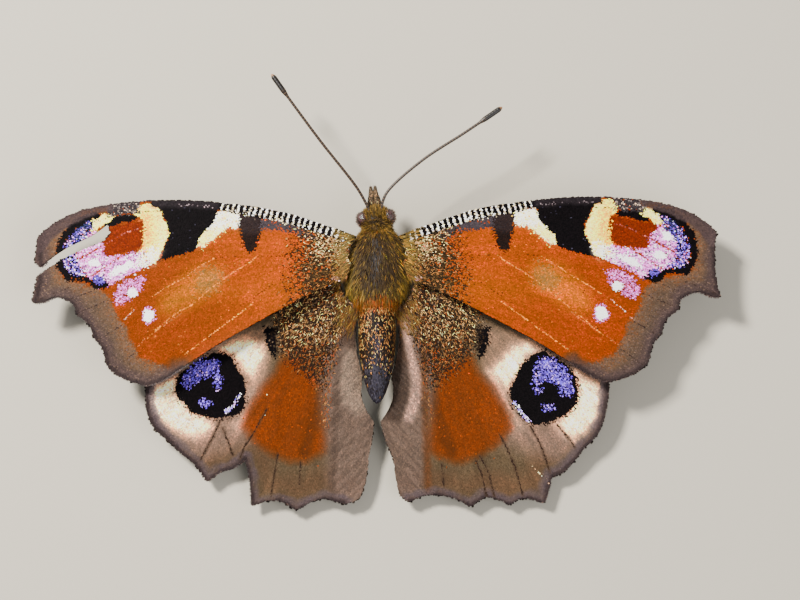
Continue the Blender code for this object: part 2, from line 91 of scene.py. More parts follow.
# %% Helpers for graphs
class Signal:
    """One number socket of a graph, with arithmetic."""

    def __init__(self, graph, socket):
        self.graph = graph
        self.socket = socket

    def maths(self, operation, *values):
        node = self.graph.node("ShaderNodeMath", {"operation": operation}, dict(enumerate(values)))
        return Signal(self.graph, node.outputs[0])

    def __add__(self, other):
        return self.maths("ADD", self, other)

    def __radd__(self, other):
        return self.maths("ADD", other, self)

    def __sub__(self, other):
        return self.maths("SUBTRACT", self, other)

    def __rsub__(self, other):
        return self.maths("SUBTRACT", other, self)

    def __mul__(self, other):
        return self.maths("MULTIPLY", self, other)

    def __rmul__(self, other):
        return self.maths("MULTIPLY", other, self)

    def between(self, low, high):
        """0 below low, 1 above high, and a smooth rise between."""
        settings = {"interpolation_type": "SMOOTHSTEP"}
        node = self.graph.node(
            "ShaderNodeMapRange", settings, {"Value": self, "From Min": low, "From Max": high}
        )
        return Signal(self.graph, node.outputs[0])


class Graph:
    """Adds and links the nodes of one tree."""

    def __init__(self, tree):
        self.tree = tree

    def node(self, kind, settings=None, sockets=None):
        node = self.tree.nodes.new(kind)
        for key, value in (settings or {}).items():
            setattr(node, key, value)
        for key, value in (sockets or {}).items():
            self.feed(node.inputs[key], value)
        return node

    def feed(self, socket, value):
        if isinstance(value, Signal):
            value = value.socket
        if isinstance(value, bpy.types.NodeSocket):
            self.tree.links.new(value, socket)
        else:
            socket.default_value = value

    def number(self, node, output=0):
        return Signal(self, node.outputs[output])


def new_material(name, roughness, specular=0.35, sheen=0.0):
    """A material whose even values sit on the shader's own sockets."""
    material = bpy.data.materials.new(name)
    material.use_nodes = True
    graph = Graph(material.node_tree)
    shader = material.node_tree.nodes["Principled BSDF"]
    shader.inputs["Roughness"].default_value = roughness
    shader.inputs["Specular IOR Level"].default_value = specular
    shader.inputs["Sheen Weight"].default_value = sheen
    return material, graph, shader


SEEN = (0.0, 0.02, 0.05, 0.1, 0.2, 0.3, 0.4, 0.5, 0.6, 0.7, 0.8, 0.9, 0.95)
LIGHT = (0.0012, 0.0033, 0.0068, 0.0148, 0.0406, 0.080, 0.135, 0.215, 0.350, 0.617, 1.26, 3.37, 6.6)
LIGHT_LEVEL = 3.2


def pigment(colour):
    """The pigment that looks like a screen colour of 0 to 255 under this scene's light."""
    light = np.exp(np.interp(np.asarray(colour, float) / 255.0, SEEN, np.log(LIGHT)))
    return np.clip(light / LIGHT_LEVEL, 0.0004, 0.93)


print("graph helpers ready")

# %% [markdown]
# ## Floor and light
# A plain pale floor carries the model. The sun in the photograph comes from the upper left, so a soft
# lamp there gives the same short shadows to the lower right, and a pale sky fills them.


# %% Stage
FLOOR_HALF = 400.0 * MM
SUN_PLACE = Vector((-160.0, 120.0, 230.0)) * MM
SUN_SIZE = 55.0 * MM
SUN_POWER = 2.9
SUN_COLOUR = (1.0, 0.96, 0.89)
FILL_PLACE = Vector((210.0, -160.0, 260.0)) * MM
FILL_SIZE = 260.0 * MM
FILL_POWER = 1.1
SKY = (0.86, 0.86, 0.85)
SKY_STRENGTH = 0.60


def add_lamp(name, place, size, power, colour):
    data = bpy.data.lights.new(name, "AREA")
    data.energy = power
    data.color = colour
    data.size = size
    lamp = bpy.data.objects.new(name, data)
    lamp.location = place
    lamp.rotation_euler = (-place).to_track_quat("-Z", "Y").to_euler()
    bpy.context.scene.collection.objects.link(lamp)


def add_stage():
    shape = bmesh.new()
    bmesh.ops.create_grid(shape, x_segments=1, y_segments=1, size=FLOOR_HALF)
    mesh = bpy.data.meshes.new("floor")
    shape.to_mesh(mesh)
    shape.free()
    floor = bpy.data.objects.new("floor", mesh)
    bpy.context.scene.collection.objects.link(floor)
    material, _, shader = new_material("pale_floor", 0.9, 0.1)
    shader.inputs["Base Color"].default_value = (*pigment((206, 204, 198)), 1.0)
    mesh.materials.append(material)
    world = bpy.data.worlds.new("sky")
    world.use_nodes = True
    world.node_tree.nodes["Background"].inputs["Color"].default_value = (*SKY, 1.0)
    world.node_tree.nodes["Background"].inputs["Strength"].default_value = SKY_STRENGTH
    bpy.context.scene.world = world
    add_lamp("sun", SUN_PLACE, SUN_SIZE, SUN_POWER, SUN_COLOUR)
    add_lamp("fill", FILL_PLACE, FILL_SIZE, FILL_POWER, (1.0, 1.0, 1.0))


add_stage()
print("floor and two lamps")

# %% [markdown]
# ## Reading a wing from the frame
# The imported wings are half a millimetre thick, so that they hold together as solids. A real membrane
# is far thinner. We read three things from each packed wing: its outline seen from above, the height
# of its middle surface, and where its veins run, which is wherever the solid is thicker.


# %% Wing surveys
PLATE = 0.5 * MM
VEIN_EXTRA = 0.32 * MM
CORNER_TURN = math.radians(38.0)
RIM_STEP = 0.14
SURVEY_STEP = 0.2
HIGH = 50.0 * MM
FORE_PIVOT = (2.9, 2.6)
LEFT_SWEEP = math.radians(1.1)


def merged_copy(node):
    """The node's triangles with their shared corners merged, in a bmesh of its own."""
    shape = bmesh.new()
    shape.from_mesh(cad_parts[node].data)
    bmesh.ops.remove_doubles(shape, verts=shape.verts, dist=0.002 * MM)
    return shape


def longest_loop(edges):
    """The longest chain of points that the loose edges join, in order."""
    neighbours = {}
    for edge in edges:
        first, second = edge.verts
        neighbours.setdefault(first, []).append(second)
        neighbours.setdefault(second, []).append(first)
    left = set(neighbours)
    best = []
    while left:
        chain = [left.pop()]
        ahead = True
        while ahead:
            ahead = [vert for vert in neighbours[chain[-1]] if vert in left]
            if ahead:
                chain.append(ahead[0])
                left.discard(ahead[0])
        if len(chain) > len(best):
            best = chain
    return [vert.co.to_2d() for vert in best]


def top_outline(shape):
    """The outline of the faces that look up."""
    upward = {face for face in shape.faces if face.normal.z > 0.35}
    rim = [edge for edge in shape.edges if sum(face in upward for face in edge.link_faces) == 1]
    return longest_loop(rim)


def smooth_outline(points, step):
    """A finer outline through the same points, rounded everywhere except at true corners."""
    count = len(points)
    turns = [(points[i] - points[i - 1]).angle(points[(i + 1) % count] - points[i]) for i in range(count)]
    fine = []
    for i in range(count):
        after_i = (i + 1) % count
        start, end = points[i], points[after_i]
        before = 2.0 * start - end if turns[i] > CORNER_TURN else points[i - 1]
        after = 2.0 * end - start if turns[after_i] > CORNER_TURN else points[(i + 2) % count]
        pieces = max(1, round((end - start).length / step))
        for k in range(pieces):
            t = k / pieces
            bend = (
                2.0 * before - 5.0 * start + 4.0 * end - after + (after - before - 3.0 * (end - start)) * t
            ) * t
            fine.append(0.5 * (2.0 * start + (end - before + bend) * t))
    return np.array([tuple(point) for point in fine])


def blurred(field, passes):
    """The field with each cell mixed into its neighbours, passes times."""
    for _ in range(passes):
        wide = np.pad(field, 1, mode="edge")
        field = 0.25 * (wide[:-2, 1:-1] + 2.0 * wide[1:-1, 1:-1] + wide[2:, 1:-1])
        wide = np.pad(field, 1, mode="edge")
        field = 0.25 * (wide[1:-1, :-2] + 2.0 * wide[1:-1, 1:-1] + wide[1:-1, 2:])
    return field


class Wing:
    """One wing as read from the frame, in millimetres, as if it were a right wing."""

    def __init__(self, node):
        self.node = node
        self.side = 1.0 if node.endswith("right") else -1.0
        self.fore = node.startswith("fore")
        self.slot = node.split("_")[0] + "_scales"
        self.sweep = LEFT_SWEEP if node == "forewing_left" else 0.0
        shape = merged_copy(node)
        self.tree = BVHTree.FromBMesh(shape)
        outline = [Vector((self.side * point.x, point.y)) / MM for point in top_outline(shape)]
        shape.free()
        self.rim = smooth_outline(outline, RIM_STEP)
        self.corners = [tuple(point) for point in self.rim]
        self.low = self.rim.min(0) - 1.0
        self.cells = np.ceil((self.rim.max(0) - self.low + 1.0) / SURVEY_STEP).astype(int)
        height, vein = self.survey()
        height = blurred(height, 10)
        slope_x, slope_y = np.gradient(height, SURVEY_STEP)
        self.fields = {"height": height, "vein": blurred(vein, 1), "slope_x": slope_x, "slope_y": slope_y}

    def survey(self):
        """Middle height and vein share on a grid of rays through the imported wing."""
        height = np.zeros(self.cells)
        vein = np.zeros(self.cells)
        guess = 3.0 * MM
        for i, j in np.ndindex(*self.cells):
            x, y = (self.low + np.array((i, j)) * SURVEY_STEP) * MM
            over = self.tree.ray_cast(Vector((self.side * x, y, HIGH)), Vector((0.0, 0.0, -1.0)))[0]
            under = self.tree.ray_cast(Vector((self.side * x, y, -HIGH)), Vector((0.0, 0.0, 1.0)))[0]
            if over is None or under is None:
                guess = self.tree.find_nearest(Vector((self.side * x, y, guess)))[0].z
            else:
                guess = 0.5 * (over.z + under.z)
                vein[i, j] = np.clip((over.z - under.z - 1.06 * PLATE) / (0.85 * VEIN_EXTRA), 0.0, 1.0)
            height[i, j] = guess / MM
        return height, vein

    def read(self, field, x, y):
        """The surveyed field between its grid points."""
        grid = self.fields[field]
        u = np.clip((x - self.low[0]) / SURVEY_STEP, 0.0, self.cells[0] - 1.001)
        v = np.clip((y - self.low[1]) / SURVEY_STEP, 0.0, self.cells[1] - 1.001)
        i, j = u.astype(int), v.astype(int)
        u, v = u - i, v - j
        near = grid[i, j] * (1 - u) + grid[i + 1, j] * u
        far = grid[i, j + 1] * (1 - u) + grid[i + 1, j + 1] * u
        return near * (1 - v) + far * v

    def pattern_place(self, x, y):
        """Where the same spot lies on the right wing, whose pattern both wings share."""
        across, along = x - FORE_PIVOT[0], y - FORE_PIVOT[1]
        c, s = math.cos(self.sweep), math.sin(self.sweep)
        return FORE_PIVOT[0] + across * c - along * s, FORE_PIVOT[1] + across * s + along * c

    def place(self, x, y, z):
        """Points of the model, in metres."""
        return np.stack([self.side * x, y, z], 1) * MM

    def heading(self, angle):
        """Level directions at angles measured on the right wing."""
        return np.stack([self.side * np.cos(angle), np.sin(angle), np.zeros(len(angle))], 1)

    def normals(self, x, y):
        up = np.stack(
            [-self.side * self.read("slope_x", x, y), -self.read("slope_y", x, y), np.ones(len(x))], 1
        )
        return up / np.linalg.norm(up, axis=1)[:, None]


WINGS = {name: Wing(name) for name in ("forewing_left", "forewing_right", "hindwing_left", "hindwing_right")}
for name, wing in WINGS.items():
    print(
        name, "outline points", len(wing.rim), "falls by", round(float(np.ptp(wing.fields["height"])), 1),
        "mm"
    )

# %% [markdown]
# ## Measuring on the wing plane
# The pattern is drawn from a few named shapes: round spots, patches with corners, and lines. Each
# shape answers one question for many points at once: how deep inside am I, in millimetres? Negative
# answers lie outside. All positions are millimetres on the right wing, out from the body's middle
# line and forward from the point between the wings.


# %% Shape measures
def spot(x, y, centre, half, turn=0.0):
    """Depth inside an oval with the given half sizes, turned by turn degrees."""
    angle = math.radians(turn)
    along = (x - centre[0]) * math.cos(angle) + (y - centre[1]) * math.sin(angle)
    across = (y - centre[1]) * math.cos(angle) - (x - centre[0]) * math.sin(angle)
    reach = np.sqrt((along / half[0]) ** 2 + (across / half[1]) ** 2)
    return (1.0 - reach) * min(half)


def to_line(x, y, points, closed=False):
    """Shortest distance to a line of points."""
    corners = list(points) + ([points[0]] if closed else [])
    best = np.full(len(x), np.inf)
    for (ax, ay), (bx, by) in zip(corners, corners[1:]):
        run = (bx - ax) ** 2 + (by - ay) ** 2 + 1e-12
        t = np.clip(((x - ax) * (bx - ax) + (y - ay) * (by - ay)) / run, 0.0, 1.0)
        best = np.minimum(best, (x - ax - t * (bx - ax)) ** 2 + (y - ay - t * (by - ay)) ** 2)
    return np.sqrt(best)


def within(x, y, points):
    """Whether each place is inside the closed line of points."""
    inside = np.zeros(len(x), bool)
    for (ax, ay), (bx, by) in zip(points, list(points[1:]) + [points[0]]):
        if ay != by:
            crosses = ((ay > y) != (by > y)) & (x < (bx - ax) * (y - ay) / (by - ay) + ax)
            inside ^= crosses
    return inside


def patch(x, y, points):
    """Depth inside a patch with the given corners."""
    distance = to_line(x, y, points, closed=True)
    return np.where(within(x, y, points), distance, -distance)


def cloud(x, y, size, seed):
    """Soft random values from -1 to 1 that change over about size millimetres."""
    lattice = np.random.default_rng(seed).uniform(-1.0, 1.0, (64, 64))
    u, v = x / size + 31.7, y / size + 17.3
    i, j = np.floor(u).astype(int), np.floor(v).astype(int)
    fu, fv = u - i, v - j
    fu, fv = fu * fu * (3 - 2 * fu), fv * fv * (3 - 2 * fv)
    low = lattice[i % 64, j % 64] * (1 - fu) + lattice[(i + 1) % 64, j % 64] * fu
    high = lattice[i % 64, (j + 1) % 64] * (1 - fu) + lattice[(i + 1) % 64, (j + 1) % 64] * fu
    return low * (1 - fv) + high * fv


print("shape measures ready")

# %% [markdown]
# ## Painting scale by scale
# A paint layer throws dice for every scale. Deep inside a shape each scale takes the layer's colour,
# far outside none does, and across the border the chance falls slowly. That gives the grainy borders
# of a real wing. A second kind of layer, a wash, moves every scale part of the way to a colour, for the
# soft clouds between the markings.


# %% Paint
EVERYWHERE = 9.0
DEPTH_NOISE = (0.08, 0.04)
LINE_BLUR = 0.03


class Paint:
    """Colours of many scales, laid on in layers."""

    def __init__(self, x, y, seed):
        self.x, self.y = x, y
        self.dice = np.random.default_rng(seed)
        self.tone = np.zeros((len(x), 3))
        self.everywhere = np.full(len(x), EVERYWHERE)
        self.wobble = DEPTH_NOISE[0] * cloud(x, y, 0.5, seed) + DEPTH_NOISE[1] * cloud(x, y, 0.2, seed + 1)

    def pick(self, colours):
        """A random one of the colours for every scale."""
        colours = np.atleast_2d(np.asarray(colours, float))
        return colours[self.dice.integers(0, len(colours), len(self.x))]

    def lay(self, colours, depth, blur=0.12, share=1.0, rough=1.0):
        """One colour, or a random pick of several, wherever the dice allow it."""
        chance = share * np.clip(0.5 + (depth + rough * self.wobble) / (2.0 * blur), 0.0, 1.0)
        chosen = self.dice.random(len(self.x)) < chance
        self.tone[chosen] = self.pick(colours)[chosen]

    def wash(self, colours, depth, blur, share=1.0):
        """A thin tint: every scale moves part of the way to the colour, more where it is deeper."""
        t = np.clip(0.5 + (depth + self.wobble) / (2.0 * blur), 0.0, 1.0)
        amount = share * t * t * (3.0 - 2.0 * t) * self.dice.uniform(0.85, 1.0, len(self.x))
        self.tone += (self.pick(colours) - self.tone) * amount[:, None]

    def lines(self, colours, routes, half, share=0.85):
        """Fine lines, such as the scales that ride on the veins."""
        for route in routes:
            self.lay(colours, half - to_line(self.x, self.y, route), LINE_BLUR, share, 0.0)

    def shade(self, amount):
        """Lightens or darkens each scale by its own share."""
        self.tone *= 1.0 + amount[:, None]

    def colours(self, grain):
        """The finished pigments, each scale a little lighter or darker than the next."""
        light = 1.0 + grain * self.dice.normal(0.0, 1.0, len(self.x))
        return pigment(np.clip(self.tone * light[:, None], 0.0, 255.0))


def fan_streaks(x, y, centre, fineness, seed):
    """Soft streaks that run away from a centre, as the rows of scales between the veins do."""
    angle = np.arctan2(y - centre[1], x - centre[0])
    reach = np.hypot(x - centre[0], y - centre[1])
    return cloud(angle * fineness, reach * 0.35, 1.0, seed)


print("paint ready")

# %% [markdown]
# ## The forewing's pattern
# Rust red ground, a black and white ticked front edge, a dark bar and a black band with cream between
# them, and near the tip the famous eyespot: cream, red, lilac and violet inside a black arc. Two free
# pale spots stand below it. The outer border is tan, greying towards the edge.

# %% Forewing colours
RUST = [(182, 91, 0), (178, 87, 0), (187, 96, 2)]
RUST_RED = [(179, 80, 6), (174, 75, 4), (184, 86, 10)]
RUST_BRIGHT = [(194, 102, 0), (199, 108, 0), (189, 97, 0)]
OCHRE = [(206, 150, 0), (200, 142, 0), (212, 158, 6)]
SMUDGE = [(182, 146, 74), (170, 132, 66), (192, 156, 86)]
VEIN_GOLD = [(222, 172, 52), (212, 160, 40), (234, 190, 84)]
VEIN_WHITE = [(236, 206, 196), (214, 176, 168), (246, 226, 214)]
VEIN_PINK = [(216, 158, 84), (206, 144, 66)]
VEIN_BROWN = [(132, 62, 14), (116, 54, 16)]
BLACK = [(14, 9, 12), (19, 13, 17), (9, 6, 9)]
BAR = [(40, 24, 20), (30, 19, 18), (50, 29, 22)]
CREAM = [(244, 226, 150), (238, 218, 136), (250, 236, 176)]
CREAM_WHITE = [(250, 240, 222), (244, 230, 210), (255, 250, 240)]
CREAM_YELLOW = [(236, 206, 74), (230, 192, 60), (240, 216, 92)]
DARK_RED = [(156, 50, 8), (146, 44, 8), (166, 58, 10)]
LILAC = [(216, 158, 208), (204, 142, 200), (228, 186, 222)]
LILAC_PALE = [(236, 208, 232), (248, 232, 244), (226, 190, 226)]
VIOLET = [(140, 104, 200), (158, 124, 214), (120, 84, 186)]
VIOLET_PALE = [(184, 164, 226), (206, 190, 236)]
WHITE = [(255, 252, 255), (250, 244, 252)]
TAN = [(146, 112, 82), (134, 102, 76), (156, 122, 90)]
TAN_GREY = [(116, 96, 80), (106, 87, 74), (126, 105, 88)]
PLUM_GREY = [(104, 82, 82), (94, 74, 76), (114, 91, 90)]
MARGIN_DARK = [(74, 58, 58), (62, 49, 51)]
EDGE_GREY = [(92, 80, 88), (78, 67, 74), (104, 92, 98)]
DARK_BASE = [(66, 46, 26), (52, 37, 23), (82, 58, 31)]
SILVER = [(222, 216, 200), (206, 198, 182), (238, 234, 222)]
GOLD_FLECKS = [(208, 146, 40), (200, 134, 30)]
BORDER_FLECKS = [(150, 126, 106), (138, 114, 104)]
BORDER_VEIN = [(86, 66, 58), (74, 56, 52)]
PLUM_FLECKS = [(120, 84, 130), (92, 66, 108)]
ROSE = [(206, 150, 140), (186, 110, 96)]
VIOLET_SOFT = [(176, 150, 222)]
NIGHT_BLUE = [(70, 76, 140), (50, 54, 104)]
BAND_FLECKS = [(92, 86, 112), (60, 54, 78)]
BASE_FLECKS = [(206, 190, 160), (226, 214, 190)]
ROOT_PINK = [(206, 176, 176), (226, 206, 206)]
EDGE_FLECKS = [(150, 136, 140), (190, 180, 182)]
CREAM_VEIN = [(96, 70, 44), (120, 92, 56)]
SMOKE = [(64, 54, 58), (84, 74, 78)]
SMOKE_FLECKS = [(170, 160, 156), (206, 196, 186)]

# %% Forewing shapes
FORE_BAR = [
    (10.7, 7.1), (12.5, 7.2), (12.5, 6.1), (12.25, 5.1), (12.1, 4.1), (11.9, 3.6), (11.4, 3.3), (11.0, 3.6),
    (10.75, 4.3), (10.7, 4.9), (10.5, 5.8),
]
FORE_STRIP = [
    (5.0, 4.6), (6.5, 5.5), (8.0, 6.2), (11.0, 7.2), (12.5, 7.3), (12.5, 6.4), (11.0, 5.7), (9.5, 5.5),
    (8.4, 5.45), (7.3, 5.2), (6.0, 4.6),
]
FORE_CREAM = [
    (12.5, 7.2), (13.8, 7.4), (14.9, 7.3), (15.2, 6.6), (15.6, 6.0), (16.1, 5.2), (16.5, 4.2), (15.8, 4.1),
    (15.1, 4.7), (14.2, 5.3), (13.5, 5.8), (12.7, 5.75), (12.5, 6.1),
]
FORE_BAND = [
    (14.3, 9.0), (20.4, 9.0), (20.3, 8.2), (19.7, 7.5), (19.5, 6.9), (19.1, 6.1), (18.95, 5.45), (19.2, 4.8),
    (19.55, 4.05), (19.75, 3.35), (20.3, 2.9), (19.5, 3.05), (18.7, 3.25), (17.7, 3.5), (16.8, 3.75),
    (16.35, 4.2), (16.1, 4.9), (15.5, 5.6), (14.85, 6.4), (14.5, 7.2),
]
EYE_CREAM = [
    (20.2, 8.4), (21.5, 8.4), (22.3, 7.7), (21.75, 7.1), (21.4, 6.75), (21.25, 6.3), (21.3, 5.7), (21.4, 5.0),
    (21.4, 4.4), (21.9, 3.9), (21.1, 2.95), (20.3, 2.8), (19.75, 3.35), (19.55, 4.05), (19.2, 4.8),
    (18.95, 5.45), (19.1, 6.1), (19.5, 6.9), (19.7, 7.5),
]
EYE_RED = [
    (21.4, 6.9), (22.5, 6.75), (24.2, 6.35), (25.6, 6.25), (25.8, 5.8), (25.1, 5.2), (24.8, 4.8), (
        24.95, 4.35
    ),
    (24.6, 3.85), (23.6, 4.0), (22.6, 4.1), (21.6, 4.3), (21.3, 4.7), (21.2, 5.7), (21.2, 6.4),
]
EYE_BLACK = [
    (22.4, 7.5), (23.3, 7.5), (24.1, 7.3), (24.9, 6.85), (25.0, 6.35), (24.2, 6.5), (23.3, 6.75), (22.2, 6.9),
    (21.9, 7.15),
]
EYE_TIP = [
    (24.1, 7.6), (25.2, 7.7), (26.1, 7.35), (26.4, 6.8), (26.1, 6.2), (25.7, 6.15), (25.2, 6.55), (24.4, 7.0),
    (24.0, 7.4),
]
EYE_RING = [
    (25.7, 7.55), (26.9, 7.25), (27.9, 6.6), (28.7, 5.6), (29.1, 4.5), (29.15, 3.5), (28.85, 2.7), (28.4, 2.0)
]
EYE_RING_FOOT = [(28.4, 1.75), (27.5, 1.8), (26.7, 1.85), (26.1, 1.5), (25.8, 1.1), (25.1, 0.95), (24.6, 1.2)]
EYE_VIOLET = [
    (26.1, 7.1), (27.05, 7.0), (27.7, 6.3), (28.4, 5.4), (28.9, 4.3), (28.9, 3.2), (28.6, 2.4), (28.2, 1.9),
    (27.3, 1.9), (26.6, 2.2), (27.4, 3.1), (27.6, 4.3), (27.3, 5.0), (26.7, 5.6), (26.2, 6.3),
]
EYE_LILAC = [
    (25.6, 6.1), (26.7, 5.8), (27.6, 4.7), (27.6, 3.9), (27.4, 3.1), (26.6, 2.2), (26.0, 1.6), (25.4, 1.0),
    (24.5, 1.1), (22.9, 1.9), (21.4, 2.5), (20.6, 2.95), (21.1, 4.1), (22.0, 4.0), (23.4, 3.9), (24.7, 3.8),
    (25.05, 4.3), (24.9, 4.8), (25.2, 5.2),
]
PINK_SPOT = [
    (20.8, 1.75), (21.8, 1.85), (22.9, 1.5), (23.8, 0.6), (24.0, -0.2), (23.65, -0.8), (22.9, -0.65),
    (22.0, -0.2), (21.35, 0.5), (21.05, 1.3),
]
OCHRE_PATCH = [
    (14.2, 2.1), (15.8, 2.4), (17.0, 1.9), (18.6, 0.6), (
        19.4, -0.6
    ), (19.6, -1.8), (18.4, -2.2), (17.2, -1.6),
    (15.7, -0.6), (14.6, 0.0), (14.0, 1.1),
]
FORE_BORDER = [
    (26.6, 9.0), (27.5, 7.4), (28.6, 6.3), (29.3, 4.9), (29.4, 3.2), (28.9, 1.95), (27.6, 1.4), (26.3, 1.0),
    (25.4, 0.85), (24.5, 0.0), (24.1, -1.4), (23.55, -2.5), (22.95, -3.1), (22.7, -4.2), (22.1, -5.1),
    (21.8, -5.9), (20.5, -6.4), (
        18.7, -7.15
    ), (16.5, -7.6), (16.5, -9.0), (19.0, -12.0), (34.0, -12.0), (34.0, 9.0),
]
GOLD_VEINS = [
    [(10.9, 3.05), (11.5, 2.5), (13.2, 1.55), (15.3, 0.1), (17.0, -1.3), (20.6, -4.2)],
    [(14.8, 3.0), (16.1, 2.35), (17.35, 1.4), (18.6, 0.75), (20.4, -0.4)],
    [(11.2, -1.2), (14.2, -3.3), (17.6, -5.7)],
]
WHITE_VEINS = [
    [(21.3, -0.85), (22.55, -1.9), (23.8, -3.1)],
    [(19.0, 0.5), (20.35, -0.4)],
    [(17.6, -2.1), (18.7, -2.9), (19.9, -3.7)],
    [(20.8, -4.2), (21.9, -4.95), (22.8, -5.6)],
    [(12.6, 1.9), (14.4, 0.75)],
    [(15.6, 2.5), (17.0, 1.7)],
]
BROWN_VEINS = [
    [(5.9, 3.2), (8.9, 3.0), (10.9, 3.05)],
    [(12.6, 3.1), (14.8, 3.02)],
    [(8.2, 1.3), (10.5, -0.25), (12.4, -1.45)],
    [(24.3, -0.3), (25.8, -0.9), (27.3, -1.5)],
    [(23.3, -2.8), (25.7, -4.1)],
    [(22.2, -5.4), (24.2, -6.8)],
    [(28.0, 1.0), (31.2, -0.2)],
    [(26.0, 0.6), (28.4, -0.3)],
]
RED_LINES = [[(19.9, 3.05), (21.4, 2.4), (22.9, 1.8), (24.2, 1.0)], [(22.9, 4.1), (24.5, 3.05), (26.0, 2.1)]]
ROSE_LINES = [[(21.4, 6.2), (23.0, 5.8), (24.5, 5.1), (25.2, 4.75)]]
RUST_LINES = [[(25.2, 4.75), (27.0, 3.75), (28.2, 3.2)], [(26.6, 5.7), (27.6, 5.1)]]
CREAM_LINES = [[(19.75, 7.6), (21.0, 7.63), (22.2, 7.5)]]
TICK_PERIOD = 0.506
TICK_SPAN = (2.8, 14.15)
TICK_LEAN = 0.30
FRONT_STRIP = 0.86

# Where markings of the left forewing lie off those of the right one: place, then shift out and forward.
LEFT_SHIFTS = [
    ((25.8, 3.3), (0.15, -0.30)), ((23.2, 2.6), (0.05, -0.28)), ((22.0, 0.3), (0.40, -0.34)),
    (
        (20.4, -2.1), (0.50, 0.16)
    ), ((20.0, 6.0), (0.0, 0.0)), ((24.5, -3.0), (0.0, 0.0)), ((16.0, 1.0), (0.0, 0.0)),
    ((29.6, 3.0), (0.1, -0.1)), ((23.5, 6.5), (0.0, -0.1)),
]


def left_shift(x, y):
    """How far each place of the left forewing is moved before its pattern is looked up."""
    shift_x, shift_y, total = np.zeros(len(x)), np.zeros(len(x)), np.full(len(x), 0.05)
    for (cx, cy), (dx, dy) in LEFT_SHIFTS:
        weight = np.exp(-((x - cx) ** 2 + (y - cy) ** 2) / 3.4)
        shift_x += weight * dx
        shift_y += weight * dy
        total += weight
    return shift_x / total, shift_y / total


# %% Forewing pattern
def forewing_ground(p, x, y, seed):
    """The rust field with its ochre middle, brighter towards the front and redder outward."""
    p.lay(RUST, p.everywhere)
    p.wash(RUST_BRIGHT, np.minimum(y - 1.6, 13.0 - x), 2.2, 0.8)
    p.wash(RUST_RED, (x - 16.5) * 0.35 + (0.5 - y) * 0.15, 1.6, 0.9)
    p.wash(OCHRE, patch(x, y, OCHRE_PATCH), 1.1, 0.85)
    p.wash(OCHRE, 1.4 - np.abs(x - 9.0) * 0.22 - np.abs(y + 0.2), 1.6, 0.25)
    p.wash(SMUDGE, spot(x, y, (15.35, 0.95), (1.15, 0.95), -35.0), 0.5, 0.7)
    p.lay(SMUDGE, spot(x, y, (15.35, 0.95), (1.5, 1.2), -35.0), 0.6, 0.25)
    p.shade(0.035 * fan_streaks(x, y, (-4.0, 3.2), 70.0, seed + 3) - 0.03 * cloud(x, y, 2.5, seed + 4))
    p.lay(GOLD_FLECKS, np.minimum(22.0 - x, 9.0), 1.0, 0.010)
    p.lines(VEIN_GOLD, GOLD_VEINS, 0.040, 0.85)
    p.lines(VEIN_BROWN, BROWN_VEINS[:3], 0.03, 0.55)
    p.lines(VEIN_PINK, WHITE_VEINS[1:], 0.034, 0.6)
    p.lines(VEIN_WHITE, WHITE_VEINS[:1], 0.036, 0.8)


def forewing_border(p, x, y, edge, seed):
    """The tan border that greys outward, with dark vein ends and a dark rim."""
    depth = patch(x, y, FORE_BORDER)
    p.wash(TAN, depth + 0.1, 0.30, 0.75)
    p.lay(TAN, depth, 0.26, 0.85)
    p.wash(TAN_GREY, depth - 0.9 + 0.3 * cloud(x, y, 1.2, seed + 6), 0.7, 0.8)
    p.wash(PLUM_GREY, 0.85 - edge + 0.2 * cloud(x, y, 1.1, seed + 5), 0.5, 0.85)
    p.lay(BORDER_FLECKS, np.minimum(depth - 0.15, 1.0), 0.5, 0.10)
    p.wash(MARGIN_DARK, 0.20 - edge, 0.16, 0.9)
    p.lines(BORDER_VEIN, BROWN_VEINS[3:], 0.035, 0.75)


